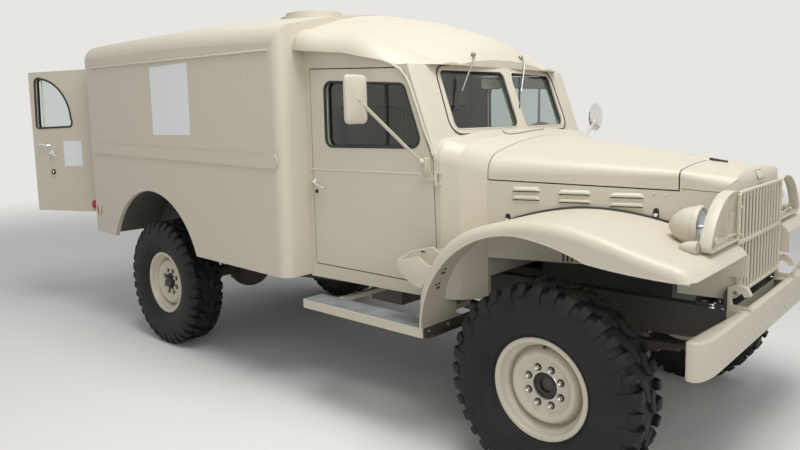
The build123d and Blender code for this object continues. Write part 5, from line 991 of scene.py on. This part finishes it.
arm = mirror_arm(-1, (1.316, -0.757, 1.352), (1.296, -1.196, 1.668), "mirror_arm_right")
shell = fill("mirror_shell", [(1.274, y, z) for y, z in rounded(oblong(-1.266, -1.134, 1.5625, 1.7775), 0.026)])
push_out((0.014, 0, 0))
push_out((0.006, 0, 0), (1, 0.9, 0.93), (1.294, -1.2, 1.67))
push_out((0.011, 0, 0), (1, 0.34, 0.44), (1.305, -1.2, 1.67))
soften(leave_edit(shell), 0.0035, 3, 22)
clip = repeat(bolt(8, 6), "mirror_clip", [facing((1.3045, -1.196, 1.668), (1, 0, 0))])
mirror_head = join("mirror_right_head", shell, arm, clip)
fit(mirror_head, sand_enamel, "door_right")
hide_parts("mirror_right")
mirror_face = plate("mirror_face_right", [(1.2738, y, z) for y, z in rounded(oblong(-1.261, -1.139, 1.5675, 1.7725),
    0.022)], (-0.0012, 0, 0), 0.0004)
fit(mirror_face, silvered, "door_right")
arm = mirror_arm(1, (1.316, 0.757, 1.352), (1.258, 1.166, 1.552), "mirror_arm_left")
fit(arm, sand_enamel, "door_left")
bowl = turn("mirror_left_bowl", [(-10, 0), (-10, 92), (-6, 95), (0, 95), (6, 90), (13, 70), (18, 40), (20, 0)],
    (1.248, 1.175, 1.56), (1, 0, 0), 56)
fit(bowl, bright_steel, "door_left")
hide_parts("mirror_left")
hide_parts("mirror_left")

# The body is a steel box with a pressed belt, a drip moulding along the roof edge and rounded corners.
# A blank white square is painted on each side, and small screws hold the drip moulding and the seam to the cab.
coat_nodes(sand_enamel, "partition", "rear_frame", "roof")
# Below the arch tops, the inner faces of the body sides round the rear wheels turn dark olive as painted shade.
body_enamel_and_shade = enamel("body_enamel_and_shade", sand, second=((0.105, 0.098, 0.082), -1.7, -0.48, 0.953, 1.125))
coat_nodes(body_enamel_and_shade, "body_side_left", "body_side_right")
blank_white = enamel("blank_white", (0.78, 0.79, 0.8), 0.36, 0.5, 0.1)
for side, ending in sides:
    moulding = [(x, side * 0.9895, 1.968 + 0.02 * (cab_rear_x - x)) for x in (0.385, 0, -0.6, -1.2, -1.842)]
    fit(tube("roof_drip_" + ending, moulding, 0.0075, sides=3), sand_enamel)
    painted = plate("blank_square_" + ending, [(x, side * 0.9848, z) for x, z in oblong(-0.934, -0.459, 1.507,
        1.962)], (0, side * 0.0008, 0), 0)
    fit(painted, blank_white)
    screws = [facing((x, side * 0.985, z), (0, side, 0), size=0.6) for x, z in ((0.098, 1.924), (0.182, 1.92),
        (0.104, 1.864), (0.188, 1.86))]
    screws += [facing((0.405, side * 0.985, 1.34), (0, side, 0), size=0.8)]
    fit(repeat(rivet(), "body_screws_" + ending, screws), nut_steel)
    seam_rivets = [facing(on_cab(0.016, z / 100, 0, side), (0, side, 0), size=0.62) for z in range(76, 194, 9)]
    fit(repeat(rivet(), "cab_seam_rivets_" + ending, seam_rivets), sand_enamel)

# Tail lamps: round red reflectors in sand rims near the rear corners, with red glass over a silvered face.
# Another one is screwed to the foot of each rear door.
red_glass = enamel("red_glass", (0.42, 0.012, 0.01), 0.16, 0.6, 0.05, unevenness=0.12)


def reflector(name, centre, out, radius, body):
    """Models one rim with its domed red glass."""
    ring = turn(name + "_rim", [(-2, radius + 6), (6, radius + 6), (10, radius + 2), (9, radius - 3), (4, radius - 3),
        (-2, radius + 6)], centre, out, 40)
    fit(ring, sand_enamel, body)
    dome = turn(name, [(-1, 0), (-1, radius - 2), (6.5, radius - 3), (9.5, radius * 0.7), (12, radius * 0.35),
        (12.8, 0)], centre, out, 40)
    fit(dome, red_glass, body)


for side, ending in sides:
    reflector("tail_reflector_" + ending, (-1.868, side * 0.983, 0.924), (-0.2, side, 0), 40, "truck")

# Rear doors are two flat steel leaves with a quarter-round window each, sealed with black rubber inside and out.
# A pull handle, a turning handle and a lock plate sit by the free edge, with a blank white square beside them.
coat_nodes(sand_enamel, "rear_door_left", "rear_door_right")
coat_nodes(window_glass, "rear_glass_left", "rear_glass_right")
pane_line = [(0.775, 1.6), (0.762, 1.94)]
for a, b, c in (((0.762, 1.94), (0.752, 1.965), (0.7, 1.974)), ((0.7, 1.974), (0.5, 1.875), (0.398, 1.64)),
        ((0.398, 1.64), (0.397, 1.588), (0.41, 1.575))):
    pane_line += arc_through(a, b, c)
pane_line += [(0.748, 1.568)] + arc_through((0.748, 1.568), (0.769, 1.576), (0.775, 1.6), 5)[:-1]
for side, ending, leaf_way, leaf_out in (
        (-1, "right", Vector((-0.9272, -0.3746, 0)), Vector((0.3746, -0.9272, 0))),
        (1, "left", Vector((0, -1, 0)), Vector((-1, 0, 0)))):
    body = "rear_door_" + ending
    hinge = Vector((-1.94, side * 0.83, 0))

    def on_leaf(u, z, lift=0):
        """Place on the leaf's outer face, u from the hinge line."""
        return hinge + leaf_way * u + leaf_out * (lift - 0.012) + Vector((0, 0, z))

    for lift, stem in ((0, "rear_window_seal_"), (-0.038, "rear_inner_seal_")):
        rubber(stem + ending, [on_leaf(u, z, lift) for u, z in pane_line], 0.0082, body, closed=True)
    window_bar = tube("rear_window_bar_" + ending, [on_leaf(0.706, 1.574, -0.014), on_leaf(0.7, 1.968, -0.014)],
        0.006, sides=2)
    fit(window_bar, sand_enamel, body)
    painted = plate("rear_blank_square_" + ending, [on_leaf(u, z, -0.0002) for u, z in oblong(0.307, 0.5, 1.252,
        1.458)], leaf_out * 0.0009, 0)
    fit(painted, blank_white, body)
    pull = tube("rear_pull", [on_leaf(0.735, 1.432, 0), on_leaf(0.73, 1.434, 0.03), on_leaf(0.705, 1.432, 0.038),
        on_leaf(0.66, 1.426, 0.036), on_leaf(0.64, 1.422, 0.004)], 0.0075, sides=3)
    hub = turn("rear_turn_hub", [(-1, 0), (-1, 20), (6, 19), (10, 11), (26, 10), (30, 0)], on_leaf(0.625, 1.362),
        leaf_out, 24)
    turn_grip = tube("rear_turn", [on_leaf(0.628, 1.362, 0.024), on_leaf(0.59, 1.348, 0.03),
        on_leaf(0.548, 1.336, 0.026)], 0.0072, sides=3)
    fit(join("rear_handles_" + ending, pull, hub, turn_grip), silvered, body)
    lock_plate = plate("rear_lock_plate_" + ending, [on_leaf(u, z, -0.0005) for u, z in rounded(oblong(0.586, 0.666,
        1.152, 1.248), 0.006)], leaf_out * 0.004, 0.001)
    fit(lock_plate, sand_enamel, body)
    lock_hole = turn("rear_lock_" + ending, [(3, 0), (3, 26), (5.8, 24.5), (5.8, 0)], on_leaf(0.626, 1.202), leaf_out,
        28)
    fit(lock_hole, black_enamel, body)
    key = plate("rear_lock_slot_" + ending, [on_leaf(u, z, 0.005) for u, z in rounded(oblong(0.619, 0.633, 1.19,
        1.216), 0.005)], leaf_out * 0.0026, 0.0008)
    fit(key, silvered, body)
    lock_screws = repeat(rivet(), "rear_lock_screws_" + ending, [facing(on_leaf(u, z, 0.0033), leaf_out, size=0.6)
        for u in (0.595, 0.657) for z in (1.162, 1.238)])
    fit(lock_screws, sand_enamel, body)
    reflector("leaf_reflector_" + ending, on_leaf(0.2, 0.935), leaf_out, 40, body)
    hinge_screws = repeat(rivet(), "rear_hinge_screws_" + ending, [facing(on_leaf(u, z + dz, 0.0035), leaf_out,
        size=0.7) for z in (0.985, 1.45, 1.915) for u in (0.045, 0.076) for dz in (-0.009, 0.009)])
    fit(hinge_screws, sand_enamel, body)

# The rear step is folded steel on two hangers from the frame's ends, with the same grey grit on its tread.
coat_nodes(tank_paint, "rear_step")
step_tread = plate("step_tread", oblong(-1.886, -2.04, -0.42, 0.42, 0.5595), (0, 0, 0.003), 0.0012)
fit(step_tread, board_grit)

# The floor is black-painted sheet, and the load space has a deck of varnished boards with dark joints.
# The boards were planed, stained brown and screwed down through the steel.
floor_paint = enamel("floor_paint", (0.05, 0.048, 0.044), 0.7, 1.4, 0.5)
coat_nodes(floor_paint, "floor")
deck_boards, tree, place = new_finish("deck_boards")
along = add_node(tree, "Mapping", {"Vector": place, "Scale": (1.6, 34.0, 34.0)}).outputs[0]
grain = mottle(tree, along, 1.0, 8, waver=0.6)
complete(deck_boards, {"Roughness": 0.55, "Base Color": blend(tree, grain, (0.105, 0.062, 0.032),
    (0.255, 0.165, 0.092)), "Normal": relief(tree, grain, 0.3, 0.001)})
coat_nodes(deck_boards, "load_deck")
planks = [plate("plank", oblong(-1.845, -0.045 + 0.44, y, y + 0.142, 0.8378), (0, 0, 0.0042), 0.0015)
    for y in (-0.436, -0.29, -0.144, 0.002, 0.148, 0.294)]
fit(join("deck_planks", *planks), deck_boards)
tread_mats = [plate("mat", [(0.545, side * 0.372 - 0.215, 0.8302), (1.385, side * 0.372 - 0.2, 0.8302),
    (1.385, side * 0.372 + 0.2, 0.8302), (0.545, side * 0.372 + 0.215, 0.8302)], (0, 0, 0.005), 0.0015)
    for side in (-1, 1)]
fit(join("cab_mats", *tread_mats), rubber_black)

# The dashboard is one pressed panel under the cowl, sand, with a cluster of plain blank dials behind the wheel.
# Each dial is a black face in a bright ring under glass, and a row of small knobs sits beside them.
coat_nodes(sand_enamel, "dashboard")
dial_black = enamel("dial_black", (0.014, 0.014, 0.015), 0.35, 0.5, 0.05)
dash_x = 1.334
dials, rings = [], []
for y, z, radius in ((0.372, 1.386, 42), (0.272, 1.386, 30), (0.472, 1.386, 30)):
    centre = (dash_x, y, z)
    rings.append(turn("dial_ring", [(-1, radius), (6, radius), (8, radius - 2), (6, radius - 5), (2, radius - 5),
        (-1, radius)], centre, (-1, 0, 0), 32))
    dials.append(turn("dial", [(-1, 0), (-1, radius - 3), (2.5, radius - 4), (2.5, 0)], centre, (-1, 0, 0), 32))
knobs = [turn("dash_knob", [(-1, 0), (-1, 4), (14, 4), (16, 10), (24, 11), (27, 7), (27, 0)],
    (dash_x, y, 1.362), (-1, 0, 0), 16) for y in (0.14, 0.08, 0.02, -0.04)]
fit(join("dial_rings", *rings), bright_steel)
fit(join("dial_faces", *dials), dial_black)
fit(join("dash_knobs", *knobs), dial_black)

# The steering wheel is moulded black plastic on steel, with three spokes and finger grips under its rim.
# A bright nut cap covers the end of the column.
wheel_plastic = enamel("wheel_plastic", (0.018, 0.018, 0.018), 0.3, 0.5, 0.05)
coat_nodes(wheel_plastic, "steering_wheel")
column_foot, column_top = Vector((1.5303, 0.372, 0.985)), Vector((1.15, 0.372, 1.375))
column_way = (column_top - column_foot).normalized()
hub_place = column_top + column_way * 0.0303
horn_cap = turn("horn_cap", [(-1, 0), (-1, 30), (4, 29), (9, 20), (11, 0)], hub_place, column_way, 32)
fit(horn_cap, bright_steel, "steering_wheel")

# Seats and benches: pressed steel frames with cloth-covered pads that swell between their piped seams.
# The cloth is olive drab canvas stuffed with hair, blown up here by a cloth simulation from a smaller shape.
frame_olive = enamel("frame_olive", (0.062, 0.064, 0.04), 0.6, 1.2, 0.3)
coat_nodes(frame_olive, "seat_frames", "bench_frames")
seat_canvas, tree, place = new_finish("seat_canvas")
weave = maths(tree, "MAXIMUM", waves(tree, place, "X", 140.0), waves(tree, place, "Y", 140.0))
complete(seat_canvas, {"Roughness": 0.85, "Sheen Weight": 0.2, "Base Color": blend(tree, mottle(tree, place, 5.0, 7),
    (0.095, 0.09, 0.05), (0.15, 0.138, 0.082)), "Normal": relief(tree, weave, 0.5, 0.0006)})


cloth_frames = 20


def blow_up(pad, grain, cap):
    """Swells a pad as stuffed cloth and holds every point within the cap."""
    shape_by(pad, "REMESH", mode="VOXEL", voxel_size=grain)
    start = [v.co.copy() for v in pad.data.vertices]
    stuffed = pad.modifiers.new("stuffed_cloth", "CLOTH")
    for key, value in (("use_pressure", True), ("uniform_pressure_force", 4.0), ("quality", 4), ("mass", 0.3),
            ("tension_stiffness", 12), ("compression_stiffness", 12), ("bending_stiffness", 2)):
        setattr(stuffed.settings, key, value)
    stuffed.settings.effector_weights.gravity = 0
    stuffed.collision_settings.use_collision = False
    stuffed.point_cache.frame_start = 1
    stuffed.point_cache.frame_end = cloth_frames
    for number in range(1, cloth_frames + 1):
        bpy.context.scene.frame_set(number)
    bpy.ops.object.modifier_apply(modifier=stuffed.name)
    bpy.context.scene.frame_set(1)
    for vertex, old in zip(pad.data.vertices, start):
        step = vertex.co - old
        if step.length > cap:
            vertex.co = old + step * (cap / step.length)
    return pad


def pad_block(name, low, high, margin, round_by):
    """Starts a pad as a rounded block a little smaller than the finished pad."""
    low, high = Vector(low) + Vector((margin,) * 3), Vector(high) - Vector((margin,) * 3)
    outline = [(x, y, low.z) for x, y in rounded(oblong(low.x, high.x, low.y, high.y), round_by)]
    return plate(name, outline, (0, 0, high.z - low.z), 0.012, 3)


# Pad columns: stem, x from and to, y from and to at the left, z from and to, CAD node, margin, grain, cap
for stem, (x_low, x_high), (y_in, y_out), (z_low, z_high), node, margin, grain, cap in (
        ("seat_cushion_", (0.645, 0.98), (0.147, 0.597), (1.0853, 1.185), "seat_pads", 0.007, 0.0065, 0.01),
        ("seat_back_", (0.553, 0.642), (0.147, 0.597), (1.185, 1.656), "seat_pads", 0.007, 0.0065, 0.01),
        ("bench_pad_", (-1.808, -0.672), (0.472, 0.948), (1.1705, 1.23), "bench_pads", 0.006, 0.0085, 0.008)):
    for side, ending in sides:
        y_low, y_high = sorted((side * y_in, side * y_out))
        block = pad_block(stem + ending, (x_low, y_low, z_low), (x_high, y_high, z_high), margin, 0.022)
        pad = blow_up(block, grain, cap)
        fit(pad, seat_canvas, smooth=60)
        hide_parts(node)
        if stem == "seat_back_":
            across = oblong(y_low + 0.012, y_high - 0.012, z_low + 0.012, z_high - 0.012)
            seam = [(x_high - 0.009, y, z) for y, z in rounded(across, 0.024)]
        else:
            across = oblong(x_low + 0.008, x_high - 0.008, y_low + 0.008, y_high - 0.008)
            seam = [(x, y, z_high - 0.012) for x, y in rounded(across, 0.024)]
        seam = tube(stem + ending + "_piping", seam, 0.0042, closed=True, sides=2)
        fit(seam, seat_canvas)
